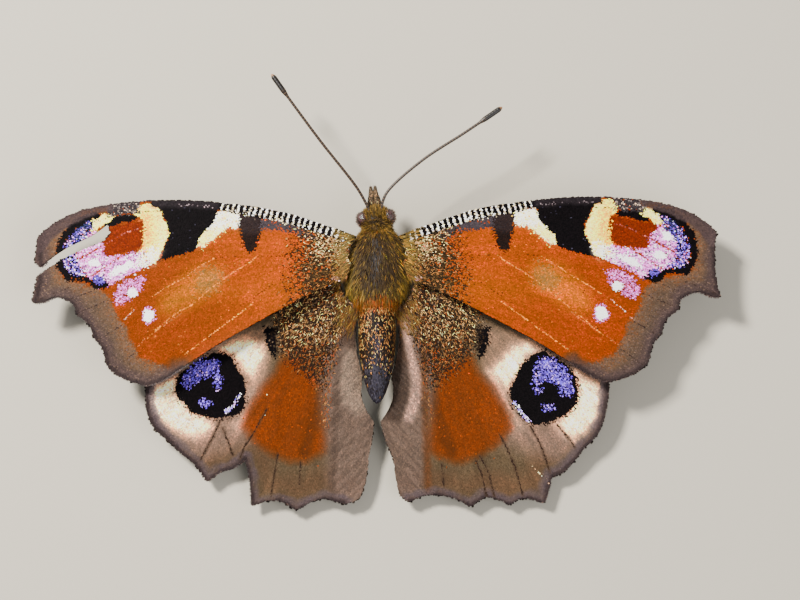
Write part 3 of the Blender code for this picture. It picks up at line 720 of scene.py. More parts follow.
def forewing_eye(p, x, y):
    """The eyespot: cream and red in front, lilac and violet behind, and a black arc outside."""
    p.lay(CREAM, patch(x, y, EYE_CREAM), 0.07)
    p.wash(CREAM_YELLOW, spot(x, y, (21.1, 5.7), (0.7, 1.7)), 0.5, 0.8)
    p.wash(CREAM_WHITE, np.minimum(patch(x, y, EYE_CREAM), 3.6 - y), 0.5, 0.9)
    p.wash(CREAM_WHITE, np.minimum(0.35 - np.abs(x - 19.5), patch(x, y, EYE_CREAM)), 0.3, 0.35)
    lilac = patch(x, y, EYE_LILAC)
    p.lay(LILAC, lilac, 0.18, 0.98)
    p.lay(LILAC_PALE, lilac, 0.3, 0.28)
    p.lay(CREAM_WHITE, spot(x, y, (20.9, 3.5), (1.1, 0.62), -35.0), 0.30, 0.9)
    p.lay(PLUM_FLECKS, lilac, 0.3, 0.10)
    p.lay(DARK_RED, patch(x, y, EYE_RED), 0.11)
    p.lay(CREAM_YELLOW, spot(x, y, (21.15, 5.6), (0.25, 1.5)), 0.25, 0.45)
    p.lines(ROSE, ROSE_LINES, 0.03, 0.7)
    p.lines(RUST_RED, RED_LINES + RUST_LINES, 0.085, 0.85)
    p.lay(BLACK, patch(x, y, EYE_BLACK), 0.09)
    p.lay(CREAM, patch(x, y, EYE_TIP), 0.10)
    p.wash(CREAM_WHITE, patch(x, y, EYE_TIP) - 0.1, 0.3, 0.4)
    zone = patch(x, y, EYE_VIOLET)
    p.lay(BLACK, zone, 0.12, 0.92)
    p.lay(VIOLET + VIOLET_SOFT, zone, 0.30, 0.42)
    p.lay(VIOLET_PALE + LILAC_PALE, zone, 0.35, 0.24)
    p.lay(NIGHT_BLUE, np.minimum(zone, y - 5.4), 0.3, 0.45)
    p.lay(BLACK, spot(x, y, (25.4, 1.5), (0.62, 0.50), 30.0), 0.16)
    p.lay(VIOLET, spot(x, y, (25.4, 1.62), (0.55, 0.42), 30.0), 0.16, 0.8)
    p.lay(WHITE, spot(x, y, (26.62, 5.1), (0.34, 0.55), 40.0), 0.10)
    p.lay(WHITE, spot(x, y, (25.75, 3.33), (0.62, 0.32), -6.0), 0.10)
    p.lay(WHITE, spot(x, y, (23.1, 2.68), (1.12, 0.36), -24.0), 0.12)
    p.lay(BLACK, 0.36 - to_line(x, y, EYE_RING), 0.14)
    p.lay(BLACK, 0.25 - to_line(x, y, EYE_RING_FOOT), 0.12, 0.95)


def forewing_pattern(x, y, edge, costa, side, seed):
    """Colours of the forewing's upper side. edge and costa are distances from its margins."""
    if side < 0.0:
        shift_x, shift_y = left_shift(x, y)
        x, y = x - shift_x, y - shift_y
    p = Paint(x, y, seed)
    forewing_ground(p, x, y, seed)
    # Painted shade: outward from x = 12 mm the left forewing is darkened by up to five percent, for the
    # weaker light on that wing.
    if side < 0.0:
        p.shade(-0.05 * np.clip((x - 12.0) / 6.0, 0.0, 1.0))
    forewing_border(p, x, y, edge, seed)
    p.lay(EDGE_GREY, patch(x, y, FORE_STRIP) + 0.08, 0.2, 0.93)
    p.lay(BAR, patch(x, y, FORE_BAR), 0.20)
    p.wash(EDGE_GREY, np.minimum(patch(x, y, FORE_BAR), y - 5.2), 0.4, 0.4)
    p.lay(CREAM_WHITE, patch(x, y, FORE_CREAM), 0.12)
    p.wash(CREAM, np.minimum(patch(x, y, FORE_CREAM), 5.6 - y), 0.5, 0.7)
    p.lay(CREAM, patch(x, y, FORE_CREAM), 0.5, 0.12)
    p.lay(BLACK, patch(x, y, FORE_BAND), 0.08)
    p.lay(BAND_FLECKS, patch(x, y, FORE_BAND) - 0.1, 0.1, 0.008)
    forewing_eye(p, x, y)
    p.lay(LILAC, patch(x, y, PINK_SPOT), 0.20, 0.72)
    p.lay(DARK_RED, patch(x, y, PINK_SPOT), 0.20, 0.14)
    p.lay(WHITE, spot(x, y, (22.0, 0.36), (0.47, 0.50)), 0.09)
    p.lay(LILAC, spot(x, y, (20.4, -2.15), (0.72, 0.80)), 0.12, 0.7)
    p.lay(WHITE, spot(x, y, (20.4, -2.15), (0.55, 0.62)), 0.07)
    reach = np.clip((9.0 - x) / 3.4 - 0.08 * np.maximum(0.0, y - 2.5), 0.0, 1.0)
    p.lay(DARK_BASE, reach * 2.0 - 1.0, 0.95, 0.95)
    p.lay(BASE_FLECKS, np.minimum(5.6 - x, y - 2.6), 1.0, 0.16)
    front_edge(p, x, y, costa, seed)
    p.lay(ROOT_PINK, spot(x, y, (3.6, 0.8), (0.35, 0.25), 20.0), 0.1, 0.9)
    return p.colours(0.05)


def front_edge(p, x, y, costa, seed):
    """The strengthened front edge: ticked black and white near the body, smoky outward."""
    near = FRONT_STRIP * np.clip((16.0 - x) / 3.0, 0.75, 1.0) - costa
    p.lay(BLACK, np.minimum(near, 20.6 - x), 0.05, 1.0, 0.3)
    p.wash(EDGE_GREY, np.minimum(near, np.minimum(x - 14.3, 20.6 - x)), 0.25, 0.5)
    slant = x - TICK_LEAN * costa + 0.03 * cloud(x, y, 0.45, seed + 7)
    tick = np.abs((slant / TICK_PERIOD) % 1.0 - 0.5) * TICK_PERIOD
    within_span = np.minimum(x - TICK_SPAN[0], TICK_SPAN[1] - x)
    p.lay(SILVER + WHITE, np.minimum(0.088 - tick, np.minimum(near - 0.04, within_span)), 0.03, 0.92, 0.0)
    p.lay(SILVER, np.minimum(costa - 0.62, np.minimum(0.98 - costa, within_span)), 0.1, 0.10)
    p.lay(EDGE_FLECKS, 0.04 - np.abs(costa - 0.42), 0.04, 0.28 * (x > 14.3) * (x < 24.0))
    p.lines(CREAM_VEIN, CREAM_LINES, 0.04, 0.7)
    p.lay(MARGIN_DARK, np.minimum(0.14 - costa, x - 20.0), 0.08, 0.9)
    speckled = np.minimum(1.12 - costa, 1.5 - np.abs(x - 23.2))
    p.lay(SMOKE, speckled, 0.16, 0.95)
    p.lay(SMOKE_FLECKS, speckled, 0.15, 0.16)
    tip = np.minimum(0.50 + 0.10 * (x - 24.0) - costa, x - 24.2)
    p.wash(PLUM_GREY, tip, 0.15, 0.95)


print("forewing pattern ready")

# %% [markdown]
# ## The hindwing's pattern
# A large black eyespot dusted with violet sits in a cream ring near the front corner. Rust fills the
# middle, an olive grey-brown band the outer part, and the fold beside the abdomen is a soft grey. The
# two eyespots differ a little, as in the photograph, so each side has its own outlines.

# %% Hindwing colours
HIND_RUST = [(168, 71, 6), (158, 65, 5), (178, 79, 10)]
RUST_SHADOW = [(118, 58, 18), (104, 54, 24)]
OLIVE = [(120, 100, 72), (112, 92, 66), (128, 108, 80)]
OUTER_BROWN = [(130, 96, 68), (120, 88, 62), (138, 104, 74)]
EYE_TAN = [(174, 148, 130), (164, 138, 120), (184, 158, 140)]
RING_CREAM = [(242, 222, 198), (234, 212, 188), (248, 232, 212)]
RING_WHITE = [(252, 240, 218), (246, 230, 204), (255, 248, 232)]
FOLD_BROWN = [(104, 80, 66), (94, 72, 60), (116, 90, 74)]
# Painted shadow: the next colour is the fold's grey-brown darkened by the abdomen's shadow.
FOLD_PAINTED_SHADOW = [(86, 66, 56), (76, 60, 52), (96, 74, 62)]
# Painted highlight: the next colour is the right fold's crest where the light falls on it.
FOLD_CREST_PAINTED_HIGHLIGHT = [(214, 190, 176), (198, 172, 158), (228, 208, 194)]
# The next colour is the fold's own grey with painted light, as the left fold looks in full light.
FOLD_GREY_AND_PAINTED_LIGHT = [(172, 154, 136), (160, 142, 126), (184, 168, 150)]
INNER_PINK = [(140, 116, 104), (128, 106, 96), (152, 128, 114)]
DUST_GROUND = [(58, 40, 28), (46, 33, 26), (74, 50, 30)]
EYE_FRONT_TAN = [(186, 160, 134), (176, 150, 126)]
RUST_FLECKS = [(184, 98, 14), (178, 90, 10)]
TROUGH_TOP = [(124, 88, 66), (112, 80, 62)]
FOLD_RUST = [(122, 70, 34), (134, 80, 40)]
HAIR_PALE = [(186, 166, 150), (170, 150, 138)]
HAIR_DARK = [(96, 78, 70), (84, 68, 62)]
EYE_RIM = [(58, 42, 34), (44, 32, 28)]
MARGIN_LILAC = [(126, 112, 124), (112, 98, 112)]
VEIN_SHADE = [(96, 70, 52)]
HIND_VEIN = [(74, 52, 40), (62, 44, 36)]
SCRATCH = [(222, 204, 184), (240, 228, 210)]
BARK = [(34, 27, 25), (26, 21, 20), (44, 35, 30)]
BARK_WAVE = [(74, 62, 52), (60, 50, 44)]
BARK_BAND = [(92, 80, 70), (76, 66, 60)]

# %% Hindwing shapes
HIND_EYES = {
    1.0: {
        "black": [
            (15.1, -5.4), (14.2, -5.75), (13.4, -6.35), (12.95, -7.1), (
                12.65, -7.85
            ), (12.2, -8.75), (12.2, -9.65),
            (
                12.45, -10.25
            ), (12.9, -11.0), (13.5, -11.6), (14.3, -12.1), (15.3, -12.0), (16.3, -11.6), (17.3, -11.15),
            (18.0, -10.4), (18.4, -9.5), (18.35, -8.6), (18.15, -7.7), (17.55, -6.95), (16.6, -6.2),
        ],
        "violet": [
            (15.0, -6.0), (16.2, -6.1), (17.0, -6.9), (17.6, -7.7), (17.9, -8.75), (17.9, -9.3), (17.3, -9.6),
            (16.85, -9.3), (16.6, -8.6), (15.9, -8.1), (15.1, -8.0), (14.8, -7.25), (14.3, -6.8),
        ],
        "faint": [(14.2, -7.2), (14.95, -7.5), (15.15, -8.6), (15.1, -9.2), (14.5, -9.3), (14.25, -8.5)],
        "drop": (15.72, -10.5),
        "streak": [(12.5, -10.0), (13.1, -10.85), (13.8, -11.7)],
        "ring_in": [
            (11.3, -6.3), (12.3, -5.0), (13.7, -4.6), (14.6, -5.3), (13.7, -5.9), (13.1, -6.8), (12.5, -7.85),
            (11.9, -8.75), (11.3, -8.4), (10.7, -7.85), (10.2, -7.2), (10.7, -6.8),
        ],
        "ring_out": [
            (18.3, -7.4), (19.2, -8.0), (20.3, -8.4), (20.5, -9.6), (
                20.3, -10.8
            ), (19.7, -11.9), (18.8, -12.8),
            (
                18.0, -13.3
            ), (17.1, -12.7), (16.6, -12.0), (17.4, -11.3), (18.3, -10.2), (18.6, -9.3), (18.5, -8.1),
        ],
    },
    -1.0: {
        "black": [
            (15.0, -5.6), (16.3, -6.3), (17.5, -7.1), (18.3, -8.0), (18.5, -8.9), (18.1, -9.65), (
                17.5, -10.25
            ),
            (16.9, -11.0), (15.65, -11.3), (14.3, -11.45), (13.05, -11.3), (12.3, -10.7), (12.0, -9.65),
            (12.1, -8.6), (12.2, -7.85), (12.9, -6.8), (13.2, -5.9), (14.1, -5.6),
        ],
        "violet": [
            (
                15.65, -6.1
            ), (16.7, -6.6), (17.5, -7.5), (17.8, -8.4), (17.2, -8.8), (16.4, -8.15), (15.65, -7.7),
            (15.0, -7.4), (14.4, -6.95), (14.55, -6.35),
        ],
        "faint": [(14.6, -7.1), (14.1, -7.85), (14.25, -8.6), (14.6, -8.9), (14.95, -8.3)],
        "drop": (15.73, -10.1),
        "streak": [(12.6, -9.4), (13.05, -10.3), (13.8, -10.85)],
        "ring_in": [
            (14.4, -5.2), (12.9, -4.6), (11.7, -4.4), (10.5, -4.9), (10.2, -5.9), (
                10.75, -6.95
            ), (11.4, -7.85),
            (11.8, -7.3), (12.6, -6.2), (13.5, -5.6),
        ],
        "ring_out": [
            (18.4, -8.0), (19.8, -8.45), (20.7, -8.6), (20.9, -9.65), (20.7, -10.7), (
                19.95, -11.6
            ), (18.6, -12.5),
            (16.7, -13.2), (15.3, -12.2), (15.7, -11.5), (16.9, -11.0), (17.8, -10.1), (18.4, -9.2),
        ],
    },
}
EYE_FRONT = [(9.7, -3.0), (12.4, -3.6), (14.4, -4.6), (13.0, -6.6), (12.0, -8.6), (10.6, -8.3), (9.7, -6.4)]
EYE_SIDE = [
    (10.7, -7.85), (11.9, -8.75), (12.1, -9.95), (12.8, -11.2), (13.7, -12.1), (13.1, -12.7), (12.3, -12.1),
    (11.7, -10.9), (11.2, -9.6),
]
EYE_BACK = [
    (13.1, -12.1), (14.3, -12.7), (16.6, -12.1), (18.2, -13.4), (17.4, -14.8), (16.3, -15.6), (15.5, -14.8),
    (14.8, -13.4), (13.7, -13.2),
]
HIND_RUST_PATCH = [
    (8.5, -5.9), (9.3, -7.4), (10.4, -8.6), (11.3, -9.95), (12.0, -11.2), (12.2, -12.2), (11.6, -13.2),
    (10.7, -14.0), (9.7, -14.6), (8.6, -15.1), (7.8, -15.4), (6.6, -15.3), (5.6, -14.9), (4.7, -14.5),
    (4.4, -13.3), (4.7, -12.1), (4.85, -10.9), (5.0, -9.6), (5.2, -8.4), (5.5, -7.2), (6.7, -6.2),
]
HIND_WEDGE = [
    (9.2, -3.4), (10.3, -3.2), (10.15, -4.7), (9.8, -5.35), (9.6, -5.9), (9.3, -6.2), (9.1, -5.3),
]
HIND_BASE = [
    (2.0, 1.2), (8.6, 0.8), (9.2, -2.6), (9.2, -4.4), (8.6, -5.6), (7.4, -6.8), (6.2, -7.6), (5.2, -8.6),
    (4.6, -7.4), (3.9, -5.0), (2.6, -2.0),
]
HIND_VEIN_LINES = {
    1.0: [
        [
            (11.1, -12.8), (11.9, -14.2), (12.65, -16.1), (13.3, -18.4)
        ], [(9.0, -15.2), (9.6, -16.6), (10.0, -18.5)],
        [
            (14.0, -12.2), (14.8, -13.6), (15.4, -15.1), (15.8, -16.4)
        ], [(16.5, -12.1), (17.3, -13.0), (18.1, -14.1)],
        [(9.4, -14.9), (10.2, -16.4), (10.7, -18.5)], [(5.9, -15.6), (6.1, -17.6)],
    ],
    -1.0: [
        [(14.3, -11.6), (15.0, -13.1), (16.2, -15.3)], [
            (10.1, -10.7), (11.4, -12.95), (12.1, -14.0), (12.55, -15.1)
        ],
        [(9.1, -14.8), (9.4, -16.4), (9.7, -18.6)], [(14.1, -12.4), (13.6, -13.6), (13.2, -14.8)],
        [(7.0, -15.4), (7.1, -17.4)],
    ],
}
HIND_SCRATCH = {
    1.0: [(13.9, -15.5), (14.8, -16.4), (15.7, -17.4)], -1.0: [(10.1, -9.2), (9.9, -10.4), (10.6, -11.8)]
}
# Painted shadow: the trough beside the abdomen on the right, where the abdomen's shadow is painted.
RIGHT_SHADOWED_TROUGH = [
    (1.8, -2.2), (2.5, -4.0), (
        2.85, -6.0
    ), (3.0, -8.2), (2.8, -10.2), (2.1, -11.8), (0.4, -11.6), (0.4, -2.2),
]
RIGHT_FOLD = [(2.5, -3.0), (3.1, -5.8), (3.55, -7.7), (3.55, -9.4), (2.95, -11.4)]
LEFT_STRIP = [(2.1, -2.3), (2.05, -4.9), (2.7, -5.05), (3.1, -4.6), (2.7, -2.8)]
LEFT_FOLD = [
    (
        2.05, -4.7
    ), (1.2, -7.7), (0.4, -9.4), (0.4, -10.6), (2.0, -11.0), (3.1, -10.1), (3.5, -8.2), (3.2, -6.4),
    (2.6, -5.0),
]
DUST_COLUMN = [(3.7, -3.7), (4.15, -6.7), (4.6, -9.7), (4.75, -12.0)]


# %% Hindwing pattern
def hindwing_ground(p, x, y, edge, side, seed):
    """Olive ground, browner outward and grey at the margin, and the rust field in the middle."""
    p.lay(OLIVE, p.everywhere)
    p.wash(OUTER_BROWN, 0.9 - np.abs(edge - 1.5) + 0.4 * cloud(x, y, 1.4, seed + 6), 0.9, 0.8)
    p.wash(EYE_TAN, spot(x, y, (15.2, -9.4), (5.9, 5.4)), 1.3, 0.9)
    p.wash(EYE_TAN, patch(x, y, EYE_BACK), 0.7, 0.7)
    p.wash(RING_CREAM, patch(x, y, EYE_SIDE), 0.6, 0.45)
    p.wash(EYE_FRONT_TAN, patch(x, y, EYE_FRONT), 0.7, 0.9)
    eye = HIND_EYES[side]
    p.wash(RING_CREAM, patch(x, y, eye["ring_in"]) + 0.15, 0.7, 0.95)
    p.wash(RING_WHITE, patch(x, y, eye["ring_in"]) - 0.25, 0.45, 0.8)
    p.wash(RING_CREAM, patch(x, y, eye["ring_out"]) + 0.35, 0.6, 0.95)
    p.wash(RING_WHITE, patch(x, y, eye["ring_out"]) - 0.25, 0.4, 0.9)
    p.wash(HIND_RUST, patch(x, y, HIND_RUST_PATCH), 0.65, 0.97)
    streak = fan_streaks(x, y, (2.0, 5.0), 55.0, seed + 3)
    p.wash(RUST_SHADOW, np.minimum(patch(x, y, HIND_RUST_PATCH), 0.6 * streak), 0.5, 0.5)
    p.wash(
        RUST_SHADOW, 0.5 - to_line(x, y, [(5.1, -9.4), (5.4, -10.9), (6.1, -12.7), (6.7, -14.5)]), 0.4, 0.6
    )
    p.shade(0.085 * streak + 0.03 * cloud(x, y, 1.3, seed + 4))
    p.lay(RUST_FLECKS, patch(x, y, HIND_RUST_PATCH), 1.0, 0.014)


def right_fold(p, x, y):
    """The fold beside the abdomen on the right: a painted shadow of the abdomen in the trough and a painted
    highlight on the crest.
    """
    p.wash(INNER_PINK, 4.9 + 0.10 * (y + 12.0) - x, 0.9, 0.85)
    # Painted shadow of the abdomen in the trough; its upper part keeps its brown.
    p.wash(FOLD_PAINTED_SHADOW, patch(x, y, RIGHT_SHADOWED_TROUGH), 0.3, 0.95)
    p.wash(TROUGH_TOP, np.minimum(patch(x, y, RIGHT_SHADOWED_TROUGH), y + 6.4), 0.7, 0.7)
    crest = to_line(x, y, RIGHT_FOLD)
    # Painted highlight on the crest that faces the light.
    p.wash(FOLD_CREST_PAINTED_HIGHLIGHT, 0.34 + 0.04 * np.clip(-4.0 - y, 0.0, 5.0) - crest, 0.28, 0.85)
    p.wash(FOLD_RUST, np.minimum(0.30 - np.abs(x - 4.35 + 0.03 * (y + 8.0)), -2.6 - y), 0.3, 0.8)


def left_fold(p, x, y):
    """The same fold on the left: its own grey with painted light, as grey cream, and a brown strip before it.
    """
    p.wash(INNER_PINK, 5.0 + 0.10 * (y + 12.0) - x, 0.9, 0.85)
    # The fold's grey with painted light.
    p.wash(FOLD_GREY_AND_PAINTED_LIGHT, patch(x, y, LEFT_FOLD) + 0.1, 0.5, 0.95)
    p.wash(FOLD_BROWN, patch(x, y, LEFT_STRIP) + 0.2, 0.35, 0.9)
    p.wash(FOLD_BROWN, 0.35 - np.abs(x - 3.75 + 0.04 * (y + 9.0)), 0.25, 0.55)


def diagonal_hairs(p, x, y, seed):
    """Fine pale and dark lines across the inner field, from the body outward and back."""
    lines = cloud((x + 0.9 * y) * 4.2, (y - x) * 0.7, 1.0, seed + 21)
    inner = np.minimum(4.6 + 0.1 * (y + 12.0) - x, -4.6 - y)
    p.wash(HAIR_PALE, np.minimum(inner, 0.9 * lines - 0.2), 0.35, 0.26)
    p.wash(HAIR_DARK, np.minimum(inner, -0.9 * lines - 0.3), 0.35, 0.22)


def hindwing_eye(p, x, y, side):
    """The eyespot: black with violet dust, a faint second cloud and two small marks."""
    eye = HIND_EYES[side]
    black = patch(x, y, eye["black"])
    p.lay(EYE_RIM, black + 0.12, 0.25, 0.6)
    p.lay(BLACK, black, 0.08)
    violet = patch(x, y, eye["violet"])
    p.lay(VIOLET, violet, 0.28, 0.70)
    p.lay(VIOLET_PALE, violet - 0.15, 0.35, 0.26)
    p.lay(VIOLET + VIOLET_PALE, patch(x, y, eye["faint"]), 0.25, 0.5)
    p.lay(VIOLET + VIOLET_PALE, spot(x, y, eye["drop"], (0.50, 0.36)), 0.2, 0.7)
    p.lay(VIOLET_PALE + WHITE, 0.13 - to_line(x, y, eye["streak"]), 0.10, 0.85)


def hindwing_pattern(x, y, edge, costa, side, seed):
    """Colours of the hindwing's upper side."""
    p = Paint(x, y, seed)
    hindwing_ground(p, x, y, edge, side, seed)
    fold = right_fold if side > 0.0 else left_fold
    fold(p, x, y)
    diagonal_hairs(p, x, y, seed)
    p.wash(PLUM_GREY, 0.48 - edge + 0.15 * cloud(x, y, 1.0, seed + 5), 0.35, 0.9)
    p.wash(MARGIN_LILAC, 0.25 - np.abs(edge - 0.5) + 0.2 * cloud(x, y, 0.9, seed + 8), 0.2, 0.45)
    p.wash(MARGIN_DARK, 0.18 - edge, 0.14, 0.9)
    p.wash(
        VEIN_SHADE, 0.10 - np.min([to_line(x, y, vein) for vein in HIND_VEIN_LINES[side]], axis=0), 0.12, 0.6
    )
    p.lines(HIND_VEIN, HIND_VEIN_LINES[side], 0.05, 0.9)
    p.lines(SCRATCH, [HIND_SCRATCH[side]], 0.03, 0.6 if side > 0.0 else 0.12)
    p.lay(BLACK, patch(x, y, HIND_WEDGE), 0.16, 0.95)
    hindwing_eye(p, x, y, side)
    reach = np.clip(0.5 + patch(x, y, HIND_BASE) / 1.6, 0.0, 1.0)
    p.lay(DUST_GROUND, reach * 2.0 - 1.0, 0.9, 0.9)
    return p.colours(0.05)


def underside_pattern(x, y, edge, costa, side, seed):
    """The dark, bark-like underside: fine wavy lines on blackish brown."""
    p = Paint(x, y, seed)
    out = np.hypot(x - 1.0, y - 3.0)
    wave = np.sin((out + 0.35 * cloud(x, y, 1.4, seed + 2)) * 2.0 * math.pi / 0.62)
    p.lay(BARK, p.everywhere)
    p.lay(BARK_WAVE, wave * 0.4 - 0.22 + 0.15 * cloud(x, y, 2.6, seed + 3), 0.3, 0.55)
    p.lay(BARK_BAND, 1.2 - np.abs(edge - 3.4), 0.7, 0.35)
    return p.colours(0.05)


print("hindwing pattern ready")

# %% [markdown]
# ## Growing a coat
# Scales, hairs and fringes all grow the same way. We prepare one small tuft, say where its roots are,
# which way each lies, how big it is and its colour, and let a node tree set a copy on every root. The
# copies become plain mesh at the end, and each keeps its own small patch on the bake map.

# %% Coats
BAKE_PATCH = 0.003


def tuft_mesh(name, rows, faces):
    """A small tuft that lies along +X. Rows hold x, y and z, and x also tells root from tip."""
    mesh = bpy.data.meshes.new(name)
    mesh.from_pydata(rows, [], faces)
    along = mesh.attributes.new("along", "FLOAT", "POINT")
    along.data.foreach_set("value", np.array([max(0.0, row[0]) for row in rows], np.float32))
    return bpy.data.objects.new(name, mesh)


def scale_tuft():
    """A wing scale: a narrow foot, parallel sides and a rounded tip that is bent slightly down."""
    rows = [
        (0.0, -0.22, 0.0), (0.0, 0.22, 0.0), (0.5, 0.5, 0.10), (0.5, -0.5, 0.10), (0.95, 0.34, 0.06),
        (0.95, -0.34, 0.06)
    ]
    return tuft_mesh("scale_tuft", rows, [(0, 3, 2, 1), (3, 5, 4, 2)])


def hair_tuft(lift):
    """A tapered blade that rises from its root and bends back towards the skin."""
    rows = [
        (0.0, -0.5, 0.0), (0.0, 0.5, 0.0), (0.35, 0.42, 0.75 * lift), (0.35, -0.42, 0.75 * lift),
        (0.7, 0.26, lift), (0.7, -0.26, lift), (1.0, 0.0, 0.75 * lift),
    ]
    return tuft_mesh("hair_tuft", rows, [(0, 3, 2, 1), (3, 5, 4, 2), (5, 6, 4)])


def coat_tree():
    """Sets the tuft on every root, turned by the root's lie and a random tilt, and makes it mesh."""
    tree = bpy.data.node_groups.new("coat", "GeometryNodeTree")
    sockets = (
        ("Roots", "Geometry"), ("Tuft", "Object"), ("Finish", "Material"), ("Tilt", "Float"), ("Seed", "Int")
    )
    for name, kind in sockets:
        tree.interface.new_socket(name, in_out="INPUT", socket_type="NodeSocket" + kind)
    tree.interface.new_socket("Coat", in_out="OUTPUT", socket_type="NodeSocketGeometry")
    graph = Graph(tree)
    given = graph.node("NodeGroupInput")
    tuft = graph.node("GeometryNodeObjectInfo", {}, {"Object": given.outputs["Tuft"]})
    lie = graph.node("GeometryNodeInputNamedAttribute", {"data_type": "FLOAT_VECTOR"}, {"Name": "lie"})
    size = graph.node("GeometryNodeInputNamedAttribute", {"data_type": "FLOAT_VECTOR"}, {"Name": "size"})
    turn = graph.node("FunctionNodeEulerToRotation", {}, {0: lie.outputs[0]})
    least = graph.number(given, "Tilt") * -1.0
    dice = graph.node(
        "FunctionNodeRandomValue", {"data_type": "FLOAT"},
        {2: least, 3: given.outputs["Tilt"], "Seed": given.outputs["Seed"]}
    )
    tilt = graph.node("ShaderNodeCombineXYZ", {}, {"Y": dice.outputs[1]})
    nod = graph.node("FunctionNodeEulerToRotation", {}, {0: tilt.outputs[0]})
    turned = graph.node(
        "FunctionNodeRotateRotation", {"rotation_space": "LOCAL"}, {0: turn.outputs[0], 1: nod.outputs[0]}
    )
    sockets = {
        "Points": given.outputs["Roots"], "Instance": tuft.outputs["Geometry"], "Rotation": turned.outputs[0],
        "Scale": size.outputs[0]
    }
    copies = graph.node("GeometryNodeInstanceOnPoints", {}, sockets)
    solid = graph.node("GeometryNodeRealizeInstances", {}, {"Geometry": copies.outputs[0]})
    finished = graph.node(
        "GeometryNodeSetMaterial", {}, {"Geometry": solid.outputs[0], "Material": given.outputs["Finish"]}
    )
    graph.node("NodeGroupOutput", {}, {"Coat": finished.outputs[0]})
    return tree


COAT_TREE = coat_tree()
SCALE = scale_tuft()
HAIR = hair_tuft(0.12)
LOW_HAIR = hair_tuft(0.05)


def turns_for(forward, up):
    """Euler angles that lay +X along forward and keep +Z close to up, for many roots at once."""
    side = np.cross(up, forward)
    side /= np.linalg.norm(side, axis=1)[:, None]
    x = np.cross(side, up)
    x /= np.linalg.norm(x, axis=1)[:, None]
    pitch = -np.arcsin(np.clip(x[:, 2], -1.0, 1.0))
    yaw = np.arctan2(x[:, 1], x[:, 0])
    roll = np.arctan2(side[:, 2], np.cross(x, side)[:, 2])
    return np.stack([roll, pitch, yaw], 1)


def put(mesh, name, kind, key, values):
    layer = mesh.attributes.new(name, kind, "POINT")
    layer.data.foreach_set(key, np.ascontiguousarray(values, np.float32).ravel())


def grow_coat(name, tuft, roots, forward, up, size, tone, finish, unwrap, nodes, tilt=0.1, seed=1):
    """One coat as a mesh piece. Sizes are millimetres along, across and up, unwrap is 0 to 1."""
    mesh = bpy.data.meshes.new(name)
    mesh.from_pydata(roots, [], [])
    put(mesh, "lie", "FLOAT_VECTOR", "vector", turns_for(forward, up))
    put(mesh, "size", "FLOAT_VECTOR", "vector", size * MM)
    put(mesh, "tone", "FLOAT_COLOR", "color", np.concatenate([tone, np.ones((len(tone), 1))], 1))
    piece = bpy.data.objects.new(name, mesh)
    bpy.context.scene.collection.objects.link(piece)
    grower = piece.modifiers.new("coat", "NODES")
    grower.node_group = COAT_TREE
    inputs = {item.name: item.identifier for item in COAT_TREE.interface.items_tree if item.in_out == "INPUT"}
    for key, value in (("Tuft", tuft), ("Finish", finish), ("Tilt", tilt), ("Seed", seed)):
        grower[inputs[key]] = value
    grown = bpy.data.meshes.new_from_object(piece.evaluated_get(bpy.context.evaluated_depsgraph_get()))
    piece.modifiers.remove(grower)
    piece.data = grown
    grown.name = name
    bpy.data.meshes.remove(mesh)
    for spare in ("lie", "size"):
        grown.attributes.remove(grown.attributes[spare])
    bake = grown.uv_layers.new(name="OFBake")
    corners = np.zeros(len(tuft.data.loops), int)
    tuft.data.loops.foreach_get("vertex_index", corners)
    shape = np.array([vert.co[:2] for vert in tuft.data.vertices])[corners] * (1.0, 0.8) + (0.0, 0.4)
    patches = np.clip(unwrap, 0.0, 1.0 - BAKE_PATCH)[:, None, :] + shape[None, :, :] * BAKE_PATCH
    bake.data.foreach_set("uv", patches.astype(np.float32).ravel())
    dress(piece, nodes)
    print(
        name, len(roots), "tufts,", sum(len(face.vertices) - 2 for face in tuft.data.polygons) * len(roots),
        "triangles"
    )
    return piece


def dress(piece, nodes):
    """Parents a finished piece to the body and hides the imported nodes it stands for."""
    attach(piece, BODY)
    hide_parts(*nodes)


print("coat tree with", len(COAT_TREE.nodes), "nodes")

# %% [markdown]
# ## Finishes
# Scales and hairs take their colour from the painted value on each tuft. Hairs are darker at the
# root, where they shade each other.


# %% Finishes for coats
def tone_material(name, roughness, specular, root_shade, grain):
    """Painted colour, shaded at the root of each tuft and finely mottled."""
    material, graph, shader = new_material(name, roughness, specular)
    tone = graph.node("ShaderNodeAttribute", {"attribute_name": "tone"})
    along = graph.node("ShaderNodeAttribute", {"attribute_name": "along"})
    place = graph.node("ShaderNodeTexCoord")
    noise = graph.node(
        "ShaderNodeTexNoise", {}, {"Vector": place.outputs["Object"], "Scale": 5200.0, "Detail": 2.0}
    )
    light = (1.0 - root_shade) + graph.number(along, "Fac") * root_shade
    light = light * (1.0 + (graph.number(noise, 0) - 0.5) * grain)
    value = graph.node("ShaderNodeCombineXYZ", {}, {"X": light, "Y": light, "Z": light})
    shaded = graph.node(
        "ShaderNodeVectorMath", {"operation": "MULTIPLY"}, {0: tone.outputs["Color"], 1: value.outputs[0]}
    )
    graph.feed(shader.inputs["Base Color"], shaded.outputs[0])
    graph.feed(shader.inputs["Roughness"], roughness + (graph.number(noise, 0) - 0.5) * 0.25)
    return material


SCALE_FINISH = tone_material("wing_scales", 0.62, 0.03, 0.15, 0.15)
HAIR_FINISH = tone_material("hairs", 0.50, 0.10, 0.40, 0.3)
FUR_FINISH = tone_material("fur", 0.55, 0.10, 0.45, 0.3)
MEMBRANE_FINISH = tone_material("wing_membrane", 0.6, 0.03, 0.0, 0.3)

# %% [markdown]
# ## The membranes
# Each membrane is a thin closed sheet on the surveyed middle surface. Veins stand out as fine ridges
# on both sides. Its own colours repeat the pattern, because a few gaps between scales always show.

